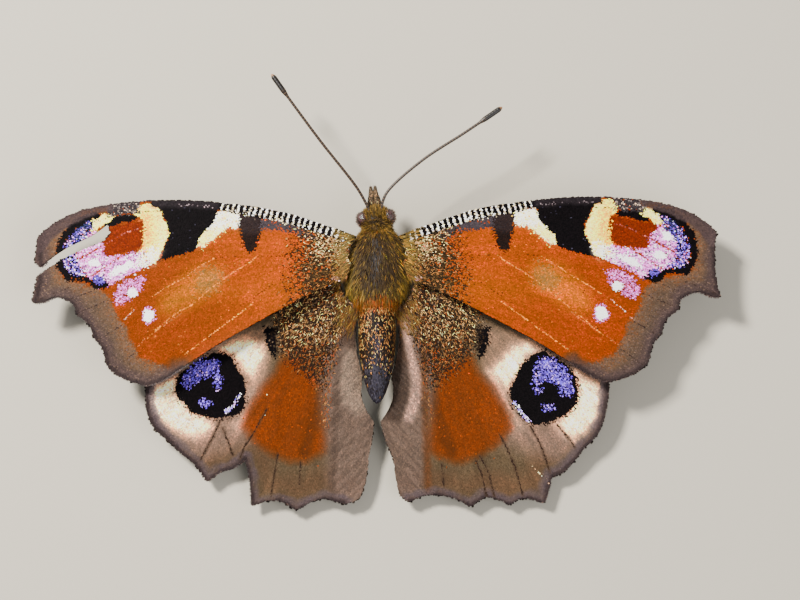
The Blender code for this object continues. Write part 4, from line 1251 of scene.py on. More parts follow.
# %% Membranes
MEMBRANE_HALF = 0.05
VEIN_RELIEF = 0.10
SHEET_STEP = 0.27
FORE_COSTA = [
    (1.2, 4.3), (3.04, 5.2), (4.9, 5.87), (8.56, 7.13), (12.5, 7.9), (16.8, 8.45), (20.5, 8.62), (24.0, 8.45),
    (27.0, 8.0), (29.2, 7.15), (30.6, 6.2), (31.2, 5.4)
]
FORE_MARGIN = [
    (31.2, 5.4), (31.0, 4.4), (30.95, 3.2), (31.0, 1.6), (31.2, 0.4), (
        31.46, -0.4
    ), (29.6, -0.1), (28.6, -0.2),
    (27.75, -0.75), (27.5, -1.65), (26.6, -2.35), (26.1, -3.1), (25.85, -3.9), (25.15, -4.8), (24.9, -5.6),
    (24.65, -6.5), (23.7, -7.35), (22.4, -7.95), (21.2, -8.3), (20.0, -8.05), (17.8, -6.8),
]
HIND_MARGIN = {
    1.0: [
        (21.0, -6.6), (21.1, -9.4), (20.8, -11.2), (
            20.15, -12.85
        ), (18.95, -14.1), (17.95, -15.35), (17.0, -16.3),
        (
            15.9, -16.75
        ), (15.27, -19.1), (13.9, -18.7), (12.14, -19.3), (9.8, -18.6), (8.56, -19.4), (5.6, -18.35),
        (3.04, -18.95),
    ],
    -1.0: [
        (21.0, -6.6), (21.1, -9.4), (21.0, -10.9), (20.3, -12.4), (19.0, -13.5), (17.9, -14.6), (16.7, -15.5),
        (
            15.5, -17.15
        ), (14.4, -16.3), (13.2, -15.95), (12.05, -15.1), (11.65, -16.6), (11.4, -19.4), (8.9, -18.9),
        (7.36, -19.75), (4.8, -18.7), (3.04, -19.15),
    ],
}
HIND_COSTA = [(1.2, 0.3), (4.5, 1.0), (9.0, 0.4), (15.0, -1.7), (19.3, -4.3), (21.0, -6.6)]


def outer_margin(wing):
    return FORE_MARGIN if wing.fore else HIND_MARGIN[wing.side]


def front_margin(wing):
    return FORE_COSTA if wing.fore else HIND_COSTA


def wing_tones(wing, x, y, upper, seed):
    """Linear colours of the wing's upper or under side at many places."""
    px, py = wing.pattern_place(x, y)
    edge = to_line(px, py, outer_margin(wing))
    costa = to_line(px, py, front_margin(wing))
    painter = underside_pattern if not upper else forewing_pattern if wing.fore else hindwing_pattern
    return painter(px, py, edge, costa, wing.side, seed)


def sheet_points(wing):
    """The outline and an even field of points within it."""
    low, high = wing.rim.min(0), wing.rim.max(0)
    gx, gy = np.meshgrid(
        np.arange(low[0], high[0], SHEET_STEP), np.arange(low[1], high[1], SHEET_STEP * 0.866)
    )
    gx = gx + 0.5 * SHEET_STEP * (np.arange(len(gx)) % 2)[:, None]
    x, y = gx.ravel(), gy.ravel()
    keep = within(x, y, wing.corners)
    x, y = x[keep], y[keep]
    clear = to_line(x, y, wing.corners, closed=True) > 0.5 * SHEET_STEP
    return wing.corners + list(zip(x[clear], y[clear]))


def membrane_mesh(wing, name):
    points = [Vector(point) for point in sheet_points(wing)]
    count = len(wing.rim)
    edges = [(i, (i + 1) % count) for i in range(count)]
    flat, _, found, _, _, _ = delaunay_2d_cdt(points, edges, [], 0, 1e-5, False)
    flat = np.array([tuple(point) for point in flat])
    found = np.array([face for face in found if len(face) == 3])
    middle = flat[found].mean(1)
    found = found[within(middle[:, 0], middle[:, 1], wing.corners)]
    x, y = flat.T
    ridge = wing.read("vein", x, y) ** 1.5
    height = wing.read("height", x, y)
    top = wing.place(x, y, height + MEMBRANE_HALF + VEIN_RELIEF * ridge)
    under = wing.place(x, y, height - MEMBRANE_HALF - 0.7 * VEIN_RELIEF * ridge)
    over = found if wing.side > 0 else found[:, ::-1]
    loose = {}
    for a, b, c in over.tolist():
        for pair in ((a, b), (b, c), (c, a)):
            loose[pair] = pair
    walls = [(b, a, a + len(flat), b + len(flat)) for a, b in loose if (b, a) not in loose]
    mesh = bpy.data.meshes.new(name)
    mesh.from_pydata(
        np.concatenate([top, under]), [], over.tolist() + (over[:, ::-1] + len(flat)).tolist() + walls
    )
    mesh.shade_smooth()
    tone = np.concatenate([wing_tones(wing, x, y, True, 11), wing_tones(wing, x, y, False, 12)])
    put(mesh, "tone", "FLOAT_COLOR", "color", np.concatenate([0.8 * tone, np.ones((len(tone), 1))], 1))
    return mesh


def add_membrane(wing):
    name = wing.node + "_membrane"
    piece = bpy.data.objects.new(name, membrane_mesh(wing, name))
    bpy.context.scene.collection.objects.link(piece)
    piece.data.materials.append(MEMBRANE_FINISH)
    dress(piece, [wing.node])
    print(name, len(piece.data.polygons), "faces")


for wing in WINGS.values():
    add_membrane(wing)

# %% [markdown]
# ## The scales
# Scales stand in rows across the wing and point away from the body, each row overlapping the foot of
# the next. The rows are arcs about a point behind the wing's root, so they fan out as the veins do.

# %% Wing scales
FAN_CENTRE = {"forewing": (-4.0, 3.2), "hindwing": (2.0, 5.0)}
ROW_STEP = {"top": 0.093, "under": 0.17}
SCALE_SIZE = {"top": (0.22, 0.12, 0.20), "under": (0.36, 0.21, 0.32)}
FAN_START = math.radians(-130.0)
FAN_TURN = math.radians(190.0)


def fan_rows(wing, step, seed):
    """Places on the wing in staggered arcs, and the direction away from the fan's centre."""
    dice = np.random.default_rng(seed)
    centre = np.array(FAN_CENTRE[wing.node.split("_")[0]])
    reach = np.hypot(*(wing.rim - centre).T)
    rows = []
    for k, radius in enumerate(np.arange(max(step, reach.min() - step), reach.max(), step)):
        count = int(FAN_TURN * radius / step)
        angle = FAN_START + (np.arange(count) + 0.5 * (k % 2)) * step / radius
        rows.append(np.stack([radius * np.cos(angle), radius * np.sin(angle)], 1) + centre)
    flat = np.concatenate(rows)
    flat += dice.normal(0.0, 0.17 * step, flat.shape)
    x, y = flat.T
    keep = within(x, y, wing.corners)
    x, y = x[keep], y[keep]
    return x, y, np.arctan2(y - centre[1], x - centre[0])


def wing_unwrap(x, y):
    return np.stack([x, y + 22.0], 1) / 33.0


def add_scales(wing, face, seed):
    """The coat of scales on one face of one wing."""
    dice = np.random.default_rng(seed)
    x, y, angle = fan_rows(wing, ROW_STEP[face], seed)
    upper = face == "top"
    sign = 1.0 if upper else -1.0
    angle = angle + dice.normal(0.0, 0.10, len(x))
    up = wing.normals(x, y) * sign
    forward = wing.heading(angle)
    lift = MEMBRANE_HALF + 0.004 + VEIN_RELIEF * (1.0 if upper else 0.7) * wing.read("vein", x, y) ** 1.5
    roots = wing.place(x, y, wing.read("height", x, y) + sign * lift)
    vary = dice.normal(1.0, 0.09, (len(x), 1))
    size = np.array(SCALE_SIZE[face]) * vary
    tone = wing_tones(wing, x, y, upper, seed + 50)
    name = "_".join((wing.node, face, "scales"))
    grow_coat(
        name, SCALE, roots, forward, up, size, tone, SCALE_FINISH, wing_unwrap(x, y), [wing.node],
        0.06, seed
    )


for number, wing in enumerate(WINGS.values()):
    add_scales(wing, "top", 100 + number)
    add_scales(wing, "under", 200 + number)

# %% [markdown]
# ## The body's skin
# Head, chest and abdomen share one skin without a seam. It is a tube of ovals along the body, each
# a coat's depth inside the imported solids. The head end turns a little to the butterfly's left, as in
# the photograph, and the two furred palps grow from it as small tapered tubes.

# %% Body skin
BODY_OVALS = [
    (-10.25, 3.62, 0.10, 0.10), (-9.95, 3.65, 0.46, 0.40), (-9.2, 3.72, 0.84, 0.72), (-8.0, 3.83, 1.20, 1.02),
    (-6.5, 3.98, 1.47, 1.24), (-5.0, 4.12, 1.62, 1.38), (-3.5, 4.25, 1.66, 1.42), (-2.4, 4.33, 1.58, 1.40),
    (-1.7, 4.38, 1.62, 1.45), (-1.0, 4.40, 2.00, 1.70), (0.0, 4.40, 2.50, 2.02), (1.0, 4.40, 2.72, 2.16),
    (2.2, 4.40, 2.76, 2.20), (3.4, 4.42, 2.58, 2.08), (4.5, 4.45, 2.05, 1.72), (5.3, 4.48, 1.45, 1.25),
    (5.8, 4.50, 1.20, 1.08), (6.5, 4.50, 1.26, 1.12), (7.2, 4.50, 1.10, 0.98), (7.6, 4.50, 0.78, 0.72),
    (7.82, 4.50, 0.20, 0.20),
]
HEAD_TURN = math.radians(6.0)
NECK_Y = 5.6
BODY_STEPS = 150
BODY_SIDES = 56
PALP_ROUTE = [(0.33, 7.2, 4.2), (0.32, 7.8, 4.3), (0.26, 8.4, 4.42), (0.20, 8.95, 4.52), (0.20, 9.5, 4.6)]
PALP_RADII = [0.34, 0.38, 0.31, 0.20, 0.05]


def smooth_rows(rows, count):
    """The rows of numbers resampled along a smooth curve through them."""
    rows = np.asarray(rows, float)
    t = np.linspace(0.0, len(rows) - 1.0, count)
    i = np.minimum(t.astype(int), len(rows) - 2)
    f = (t - i)[:, None]
    before, after = rows[np.maximum(i - 1, 0)], rows[np.minimum(i + 2, len(rows) - 1)]
    start, end = rows[i], rows[i + 1]
    bend = (2.0 * before - 5.0 * start + 4.0 * end - after + (after - before - 3.0 * (end - start)) * f) * f
    return 0.5 * (2.0 * start + (end - before + bend) * f)


def turn_head(points):
    """Turns whatever lies before the neck, more and more up to the full angle."""
    share = np.clip((points[:, 1] - NECK_Y + 0.6) / 1.2, 0.0, 1.0)
    angle = HEAD_TURN * share
    x, y = points[:, 0], points[:, 1] - NECK_Y
    turned = points.copy()
    turned[:, 0] = x * np.cos(angle) - y * np.sin(angle)
    turned[:, 1] = x * np.sin(angle) + y * np.cos(angle) + NECK_Y
    return turned


OVALS = smooth_rows(BODY_OVALS, 600)


def body_point(y, angle):
    """Points on the skin at distances along the body and angles around it, 0 pointing right."""
    z, half_width, half_height = (np.interp(y, OVALS[:, 0], OVALS[:, k]) for k in (1, 2, 3))
    return turn_head(np.stack([half_width * np.cos(angle), y, z + half_height * np.sin(angle)], 1))


def body_frame(y, angle):
    """Skin points with their outward directions and the direction towards the head."""
    here = body_point(y, angle)
    ahead = body_point(y + 0.05, angle) - here
    around = body_point(y, angle + 0.02) - here
    out = np.cross(around, ahead)
    out /= np.linalg.norm(out, axis=1)[:, None]
    ahead /= np.linalg.norm(ahead, axis=1)[:, None]
    out *= np.sign(
        (out * (here - np.stack([here[:, 0] * 0.0, here[:, 1], here[:, 2] * 0.0 + 4.2], 1))).sum(1)
    )[:, None]
    return here, out, ahead


def tube(route, radii, sides, flat=1.0):
    """Points and faces of a closed tube along a route, in millimetres. flat squeezes it sideways."""
    route = np.asarray(route, float)
    radii = np.asarray(radii, float)
    ahead = np.gradient(route, axis=0)
    ahead /= np.linalg.norm(ahead, axis=1)[:, None]
    right = np.cross(ahead, (0.0, 0.0, 1.0))
    right /= np.maximum(np.linalg.norm(right, axis=1), 1e-6)[:, None]
    over = np.cross(right, ahead)
    angle = np.linspace(0.0, 2.0 * math.pi, sides, endpoint=False)
    ring = right[:, None] * np.cos(angle)[None, :, None] * flat + over[:, None] * np.sin(angle)[None, :, None]
    points = (route[:, None] + ring * radii[:, None, None]).reshape(-1, 3)
    faces = []
    for i in range(len(route) - 1):
        for k in range(sides):
            j = (k + 1) % sides
            faces.append((i * sides + k, i * sides + j, (i + 1) * sides + j, (i + 1) * sides + k))
    last = (len(route) - 1) * sides
    faces.append(tuple(range(sides))[::-1])
    faces.append(tuple(range(last, last + sides)))
    return points, faces


def joined(parts):
    """Several lists of points and faces as one."""
    points, faces, first = [], [], 0
    for part_points, part_faces in parts:
        points.append(part_points)
        faces.extend(tuple(i + first for i in face) for face in part_faces)
        first += len(part_points)
    return np.concatenate(points), faces


def new_piece(name, points, faces, material, nodes, slot, smooth=True):
    """A finished mesh piece from points in millimetres."""
    mesh = bpy.data.meshes.new(name)
    mesh.from_pydata(np.asarray(points) * MM, [], faces)
    shape = bmesh.new()
    shape.from_mesh(mesh)
    bmesh.ops.recalc_face_normals(shape, faces=shape.faces)
    shape.to_mesh(mesh)
    shape.free()
    if smooth:
        mesh.shade_smooth()
    mesh.materials.append(material)
    piece = bpy.data.objects.new(name, mesh)
    bpy.context.scene.collection.objects.link(piece)
    dress(piece, nodes)
    print(name, len(mesh.polygons), "faces")
    return piece


def body_tube():
    ys = np.interp(np.linspace(0, 599, BODY_STEPS), np.arange(600), OVALS[:, 0])
    angle = np.linspace(0.0, 2.0 * math.pi, BODY_SIDES, endpoint=False)
    points = body_point(np.repeat(ys, BODY_SIDES), np.tile(angle, BODY_STEPS))
    _, faces = tube(np.stack([ys * 0.0, ys, ys * 0.0], 1), np.ones(BODY_STEPS), BODY_SIDES)
    return points, faces


def palp_route(side):
    route = smooth_rows(PALP_ROUTE, 24)
    route[:, 0] *= side
    return turn_head(route), np.interp(np.linspace(0, 1, 24), np.linspace(0, 1, len(PALP_RADII)), PALP_RADII)


def mottled_material(name, roughness, specular, scale, blotch, dark, light, relief):
    """A dark hide with lighter blotches and a fine bumpy surface."""
    material, graph, shader = new_material(name, roughness, specular)
    place = graph.node("ShaderNodeTexCoord")
    noise = graph.node(
        "ShaderNodeTexNoise", {}, {"Vector": place.outputs["Object"], "Scale": scale, "Detail": 3.0}
    )
    mask = graph.number(noise, 0).between(*blotch)
    tones = {0: mask, 6: (*pigment(dark), 1.0), 7: (*pigment(light), 1.0)}
    mix = graph.node("ShaderNodeMix", {"data_type": "RGBA"}, tones)
    graph.feed(shader.inputs["Base Color"], mix.outputs[2])
    bump = graph.node("ShaderNodeBump", {}, {"Height": noise.outputs[0], "Distance": relief, "Strength": 0.6})
    graph.feed(shader.inputs["Normal"], bump.outputs[0])
    return material


SKIN = mottled_material("skin", 0.65, 0.3, 1400.0, (0.35, 0.65), (36, 24, 14), (92, 62, 28), 0.06 * MM)
palps = [tube(*palp_route(side), 14, 0.9) for side in (-1.0, 1.0)]
new_piece(
    "body_skin", *joined([body_tube(), *palps]), SKIN,
    ["head", "thorax", "abdomen", "palp_left", "palp_right"], "body_fur"
)

# %% [markdown]
# ## Fur on the chest
# The chest wears long soft fur that is golden olive at the sides, darker on the back with a painted
# blue-grey sheen on the middle line, and rusty where it meets the abdomen. It lies backward and spreads
# over the roots of the wings.

# %% Chest fur
SIDE_GOLD = [(180, 160, 76), (158, 140, 62), (198, 178, 92), (142, 122, 54)]
BACK_DARK = [(120, 94, 62), (98, 76, 54), (138, 110, 64), (84, 66, 52)]
# Painted sheen: blue-grey hair tones that stand for the light's shine on the middle of the back.
PAINTED_BLUE_SHEEN = [(112, 112, 118), (92, 94, 104), (146, 144, 146)]
WAIST_RUST = [(182, 124, 36), (166, 108, 28), (194, 138, 50)]
NECK_GOLD = [(182, 158, 62), (164, 140, 52), (176, 130, 52)]

CHEST_HAIRS = 23000


def some_tones(colours, count, dice):
    """A random one of the colours for each of many tufts."""
    return pigment(np.array(colours)[dice.integers(0, len(colours), count)])


def unit(vectors):
    return vectors / np.linalg.norm(vectors, axis=1)[:, None]


def body_roots(count, low, high, dice):
    """Random places on the skin between two distances along the body, even by area."""
    tries = dice.uniform(low, high, count * 4)
    width = np.interp(tries, OVALS[:, 0], OVALS[:, 2])
    y = tries[dice.random(count * 4) < width / width.max()][:count]
    return y, dice.uniform(0.0, 2.0 * math.pi, len(y))


def body_unwrap(y, angle):
    return np.stack([angle / (2.0 * math.pi), (y + 10.5) / 21.5], 1)


def fur_tones(x, y, z, seed):
    p = Paint(x, y, seed)
    p.lay(SIDE_GOLD, p.everywhere)
    p.lay(NECK_GOLD, y - 4.6, 0.8, 0.8)
    p.lay(BACK_DARK, np.minimum(spot(x, y, (0.0, 2.3), (2.0, 3.3)), z - 4.6), 0.6, 0.9)
    # Painted sheen on the middle line of the back.
    p.lay(PAINTED_BLUE_SHEEN, spot(x, y, (-0.1, 2.6), (0.35, 1.5)), 0.25, 0.5)
    p.lay(WAIST_RUST, -0.8 - y, 0.5, 0.9)
    p.lay(BACK_DARK, 3.6 - z, 0.8, 0.6)
    return p.colours(0.10)


def add_chest_fur():
    dice = np.random.default_rng(31)
    y, angle = body_roots(CHEST_HAIRS, -1.5, 5.5, dice)
    here, out, ahead = body_frame(y, angle)
    sideways = np.stack(
        [np.sign(here[:, 0]) * np.minimum(1.0, np.abs(here[:, 0]) / 2.0), np.zeros(len(y)), np.zeros(len(y))],
        1
    )
    forward = unit(-ahead + 0.42 * sideways + 0.30 * out + dice.normal(0.0, 0.16, here.shape))
    up = unit(out + dice.normal(0.0, 0.25, here.shape))
    length = 0.62 + 0.5 * np.clip(np.abs(here[:, 0]) / 2.6, 0.0, 1.0) * np.clip((4.8 - y) / 2.0, 0.3, 1.0)
    length *= dice.uniform(0.75, 1.2, len(y))
    size = np.stack([length, np.full(len(y), 0.042), 1.3 * length], 1)
    tone = fur_tones(here[:, 0], here[:, 1], here[:, 2], 33)
    grow_coat(
        "chest_fur", HAIR, here * MM, forward, up, size, tone, FUR_FINISH, body_unwrap(y, angle), ["thorax"],
        0.15, 35
    )


add_chest_fur()

# %% [markdown]
# ## The abdomen
# The front two thirds of the abdomen's back are nearly black with short golden hair scales, and the
# last rings are blue grey. Everything lies backward, flat on the skin.

# %% Abdomen coat
ABDOMEN_DARK = [(40, 30, 24), (30, 23, 20), (54, 40, 28)]
ABDOMEN_BLUE = [(92, 86, 104), (76, 72, 92), (112, 106, 120), (64, 58, 74)]
ABDOMEN_GOLD = [(222, 196, 140), (204, 172, 106), (236, 218, 180), (180, 146, 84)]
ABDOMEN_SCALES = 15000
GOLD_HAIRS = 2000


def abdomen_tones(x, y, z, seed):
    p = Paint(x, y, seed)
    p.lay(ABDOMEN_DARK, p.everywhere)
    p.lay([(84, 54, 26), (104, 68, 30)], np.abs(x) - 0.9, 0.5, 0.25)
    p.lay(ABDOMEN_BLUE, np.minimum(-6.8 - y, 1.3 - np.abs(x)), 0.9, 0.8)
    p.lay(ABDOMEN_BLUE, 0.35 - np.abs(x) - 0.3 * np.maximum(0.0, y + 4.4), 0.2, 0.7)
    p.lay(WAIST_RUST, y + 2.1, 0.4, 0.7)
    p.lay(BACK_DARK, 3.4 - z, 0.6, 0.7)
    return p.colours(0.09)


def add_abdomen_coat():
    dice = np.random.default_rng(41)
    y, angle = body_roots(ABDOMEN_SCALES, -10.2, -1.6, dice)
    here, out, ahead = body_frame(y, angle)
    forward = unit(-ahead + dice.normal(0.0, 0.13, here.shape))
    size = np.stack([dice.uniform(0.26, 0.40, len(y)), np.full(len(y), 0.085), np.full(len(y), 0.3)], 1)
    tone = abdomen_tones(here[:, 0], here[:, 1], here[:, 2], 43)
    grow_coat(
        "abdomen_scales", SCALE, here * MM, forward, out, size, tone, FUR_FINISH, body_unwrap(y, angle),
        ["abdomen"], 0.10, 45
    )
    y, angle = body_roots(GOLD_HAIRS, -9.9, -1.7, dice)
    keep = dice.random(len(y)) < np.clip((y + 8.6) / 4.0, 0.06, 1.0)
    y, angle = y[keep], angle[keep]
    here, out, ahead = body_frame(y, angle)
    forward = unit(-ahead + 0.1 * out + dice.normal(0.0, 0.5, here.shape))
    size = np.stack([dice.uniform(0.15, 0.27, len(y)), np.full(len(y), 0.05), np.full(len(y), 0.3)], 1)
    tone = some_tones(ABDOMEN_GOLD, len(y), dice)
    grow_coat(
        "abdomen_gold", LOW_HAIR, (here + 0.05 * out) * MM, forward, out, size, tone, HAIR_FINISH,
        body_unwrap(y, angle), ["abdomen"], 0.12, 46
    )


add_abdomen_coat()

# %% [markdown]
# ## The head
# Large domed eyes of hundreds of facets sit at the sides, brown with a violet shine and short hairs
# between the facets. Bristly fur covers the forehead and the two palps, which close to a snout.

# %% Eyes
EYE_CENTRE = (1.15, 6.75, 4.5)
EYE_HALF = (0.70, 0.76, 0.86)
EYE_HAIR = [(150, 116, 100), (110, 80, 70), (190, 160, 140)]
EYE_HAIRS = 700


def eye_material():
    """Facets as rounded cells, dark brown with a violet shine and lighter patches."""
    material, graph, shader = new_material("eye_facets", 0.22, 0.6)
    place = graph.node("ShaderNodeTexCoord")
    cells = graph.node("ShaderNodeTexVoronoi", {}, {"Vector": place.outputs["Object"], "Scale": 12500.0})
    blotch = graph.node(
        "ShaderNodeTexNoise", {}, {"Vector": place.outputs["Object"], "Scale": 3600.0, "Detail": 2.0}
    )
    mask = graph.number(blotch, 0).between(0.40, 0.68)
    dark, light = (*pigment((50, 26, 24)), 1.0), (*pigment((132, 92, 96)), 1.0)
    mix = graph.node("ShaderNodeMix", {"data_type": "RGBA"}, {0: mask, 6: dark, 7: light})
    graph.feed(shader.inputs["Base Color"], mix.outputs[2])
    bump = graph.node(
        "ShaderNodeBump", {"invert": True},
        {"Height": cells.outputs["Distance"], "Distance": 0.00003, "Strength": 0.8}
    )
    graph.feed(shader.inputs["Normal"], bump.outputs[0])
    return material


def eye_points(side, polar, around, grow=0.0):
    """Points on an eye. Polar runs from the front pole to the back one."""
    unit_points = np.stack([np.sin(polar) * np.cos(around), np.cos(polar), np.sin(polar) * np.sin(around)], 1)
    centre = np.array(EYE_CENTRE) * (side, 1.0, 1.0)
    return turn_head(centre + unit_points * (np.array(EYE_HALF) + grow)), unit_points


EYE_FINISH = eye_material()


def add_eye(side, word):
    rows, sides = 28, 40
    polar = np.repeat(np.linspace(0.02, math.pi - 0.02, rows), sides)
    around = np.tile(np.linspace(0.0, 2.0 * math.pi, sides, endpoint=False), rows)
    points, _ = eye_points(side, polar, around)
    _, faces = tube(np.stack([np.zeros(rows), np.arange(rows), np.zeros(rows)], 1), np.ones(rows), sides)
    new_piece("eye_" + word + "_facets", points, faces, EYE_FINISH, ["eye_" + word], "eye")
    dice = np.random.default_rng(51)
    polar, around = np.arccos(dice.uniform(-0.9, 0.9, EYE_HAIRS)), dice.uniform(0.0, 2.0 * math.pi, EYE_HAIRS)
    here, out = eye_points(side, polar, around)
    size = np.tile((0.16, 0.022, 0.1), (EYE_HAIRS, 1))
    tone = some_tones(EYE_HAIR, EYE_HAIRS, dice)
    forward = unit(out + (0.0, -0.5, 0.3) + dice.normal(0.0, 0.2, out.shape))
    up = unit(np.cross(forward, dice.normal(0.0, 1.0, out.shape)))
    unwrap = np.stack([around / (2.0 * math.pi), polar / math.pi], 1)
    grow_coat(
        "eye_" + word + "_hairs", LOW_HAIR, here * MM, forward, up, size, tone, HAIR_FINISH, unwrap,
        ["eye_" + word], 0.1, 52
    )


for side, word in ((-1.0, "left"), (1.0, "right")):
    add_eye(side, word)

# %% Head and palp fur
HEAD_FUR = [(184, 162, 84), (158, 136, 68), (204, 182, 106), (128, 106, 60)]
PALP_FUR = [(126, 108, 86), (94, 78, 62), (160, 142, 118), (70, 56, 44), (196, 180, 154)]
HEAD_HAIRS = 5200
PALP_HAIRS = 3400


def add_head_fur():
    dice = np.random.default_rng(61)
    y, angle = body_roots(HEAD_HAIRS, 5.1, 7.78, dice)
    here, out, ahead = body_frame(y, angle)
    forward = unit(
        ahead * np.clip(y - 6.2, -0.8, 0.8)[:, None] + 0.75 * out + dice.normal(0.0, 0.22, here.shape)
    )
    up = unit(np.cross(forward, dice.normal(0.0, 1.0, out.shape)))
    length = dice.uniform(0.28, 0.5, len(y))
    size = np.stack([length, np.full(len(y), 0.04), length], 1)
    tone = some_tones(HEAD_FUR, len(y), dice)
    grow_coat(
        "head_fur", HAIR, here * MM, forward, up, size, tone, FUR_FINISH, body_unwrap(y, angle), ["head"],
        0.15, 62
    )


def add_palp_fur(side, word):
    """Dense flat scales and bristles that follow the palp to its dark tip."""
    dice = np.random.default_rng(71)
    route, radii = palp_route(side)
    place = dice.uniform(0.0, len(route) - 1.01, PALP_HAIRS)
    i = place.astype(int)
    f = (place - i)[:, None]
    centre = route[i] * (1 - f) + route[i + 1] * f
    ahead = unit(route[i + 1] - route[i])
    right = unit(np.cross(ahead, (0.0, 0.0, 1.0)))
    around = dice.uniform(0.0, 2.0 * math.pi, len(i))
    out = right * np.cos(around)[:, None] * 0.9 + np.cross(right, ahead) * np.sin(around)[:, None]
    here = centre + out * np.interp(place, np.arange(len(radii)), radii)[:, None]
    out = unit(out)
    forward = unit(ahead + 0.16 * out + dice.normal(0.0, 0.12, here.shape))
    size = np.stack([dice.uniform(0.22, 0.38, len(i)), np.full(len(i), 0.05), np.full(len(i), 0.35)], 1)
    p = Paint(here[:, 0], here[:, 1], 72)
    p.lay(PALP_FUR, p.everywhere)
    p.lay([(44, 32, 28), (60, 44, 36)], here[:, 1] - 9.5, 0.3, 0.8)
    unwrap = np.stack([around / (2.0 * math.pi), place / len(route)], 1)
    grow_coat(
        "palp_" + word + "_fur", HAIR, here * MM, forward, out, size, p.colours(0.1), FUR_FINISH, unwrap,
        ["palp_" + word], 0.15, 73
    )


add_head_fur()
for side, word in ((-1.0, "left"), (1.0, "right")):
    add_palp_fur(side, word)

# %% [markdown]
# ## Feelers and tongue
# A feeler is a thin stalk of some forty short rings, each dark with a pale edge, and it ends in a
# dark club with a pale tip. The tongue is a hollow tube coiled like a watch spring below the head.

# %% Feelers
FEELERS = {
    "left": [(-0.70, 7.3, 5.2), (-2.0, 9.55, 5.7), (-5.24, 13.7, 6.0), (-8.1, 17.6, 6.2), (-9.8, 20.03, 6.2)],
    "right": [(0.30, 7.3, 5.2), (1.1, 9.2, 5.6), (4.29, 12.0, 5.9), (8.16, 14.5, 6.2), (11.55, 16.87, 6.2)],
}
STALK_RADIUS = 0.125
CLUB_RADIUS = 0.25
CLUB_SPAN = 2.3
FEELER_RING = 0.30


def feeler_material():
    """Rings: dark brown with a narrow pale edge on each, and a pale tip on the club."""
    material, graph, shader = new_material("feeler_rings", 0.4, 0.4)
    travel = graph.node("ShaderNodeAttribute", {"attribute_name": "travel"})
    share = graph.node(
        "ShaderNodeMath", {"operation": "FRACT"}, {0: graph.number(travel, "Fac") * (1.0 / FEELER_RING)}
    )
    edge = graph.number(share).between(0.62, 0.85)
    to_tip = graph.node("ShaderNodeAttribute", {"attribute_name": "to_tip"})
    club = 1.0 - graph.number(to_tip, "Fac").between(1.6, 2.4)
    tip = 1.0 - graph.number(to_tip, "Fac").between(0.05, 0.35)
    dark, pale = (*pigment((52, 34, 22)), 1.0), (*pigment((150, 122, 88)), 1.0)
    black, cream = (*pigment((26, 20, 20)), 1.0), (*pigment((196, 170, 134)), 1.0)
    rings = graph.node("ShaderNodeMix", {"data_type": "RGBA"}, {0: edge * 0.7, 6: dark, 7: pale})
    clubbed = graph.node("ShaderNodeMix", {"data_type": "RGBA"}, {0: club, 6: rings.outputs[2], 7: black})
    tipped = graph.node("ShaderNodeMix", {"data_type": "RGBA"}, {0: tip, 6: clubbed.outputs[2], 7: cream})
    graph.feed(shader.inputs["Base Color"], tipped.outputs[2])
    bump = graph.node("ShaderNodeBump", {}, {"Height": edge.socket, "Distance": 0.00002, "Strength": 0.7})
    graph.feed(shader.inputs["Normal"], bump.outputs[0])
    return material


def add_feeler(word, material):
    route = smooth_rows(FEELERS[word], 260)
    travel = np.concatenate([[0.0], np.cumsum(np.linalg.norm(np.diff(route, axis=0), axis=1))])
    to_tip = travel[-1] - travel
    swell = np.clip((CLUB_SPAN + 0.5 - to_tip) / 1.0, 0.0, 1.0)
    radii = STALK_RADIUS + (CLUB_RADIUS - STALK_RADIUS) * swell * swell * (3.0 - 2.0 * swell)
    radii *= 1.0 + 0.10 * np.abs(np.sin(math.pi * travel / FEELER_RING)) * (1.0 - swell)
    radii *= np.sqrt(np.clip(to_tip / 0.4, 0.02, 1.0))
    radii[0:6] *= 1.5
    points, faces = tube(route, radii, 14)
    piece = new_piece("feeler_" + word, points, faces, material, ["antenna_" + word], "shell")
    put_numbers(piece.data, "travel", np.repeat(travel, 14))
    put_numbers(piece.data, "to_tip", np.repeat(to_tip, 14))


def put_numbers(mesh, name, values):
    layer = mesh.attributes.new(name, "FLOAT", "POINT")
    layer.data.foreach_set("value", np.ascontiguousarray(values, np.float32))


FEELER_FINISH = feeler_material()
for word in FEELERS:
    add_feeler(word, FEELER_FINISH)

# %% Shell finish, tongue
TONGUE_CENTRE = (0.0, 7.0, 2.35)


SHELL = mottled_material("shell", 0.38, 0.45, 2600.0, (0.42, 0.70), (40, 28, 22), (104, 76, 50), 0.03 * MM)


def add_tongue():
    t = np.linspace(0.0, 1.0, 120)
    angle = math.pi / 2 + t * 2.0 * math.pi * 3.2
    radius = 0.49 - 0.36 * t
    route = np.stack(
        [
            0.02 * np.sin(angle * 0.3), TONGUE_CENTRE[1] + radius * np.cos(angle),
            TONGUE_CENTRE[2] + radius * np.sin(angle)
        ],
        1
    )
    neck = np.array([(0.0, 7.25, 3.7), (0.0, 7.32, 3.3)])
    route = turn_head(np.concatenate([neck, route]))
    radii = np.concatenate([[0.09, 0.09], 0.078 - 0.045 * t])
    new_piece("tongue_coil", *tube(route, radii, 10), SHELL, ["proboscis"], "shell")


add_tongue()

# %% [markdown]
# ## Legs
# The peacock stands on four legs. The front pair is short and hairy, held against the chest. Each
# walking leg has a stout thigh, a thin spined shin and a foot of five rings with two claws.

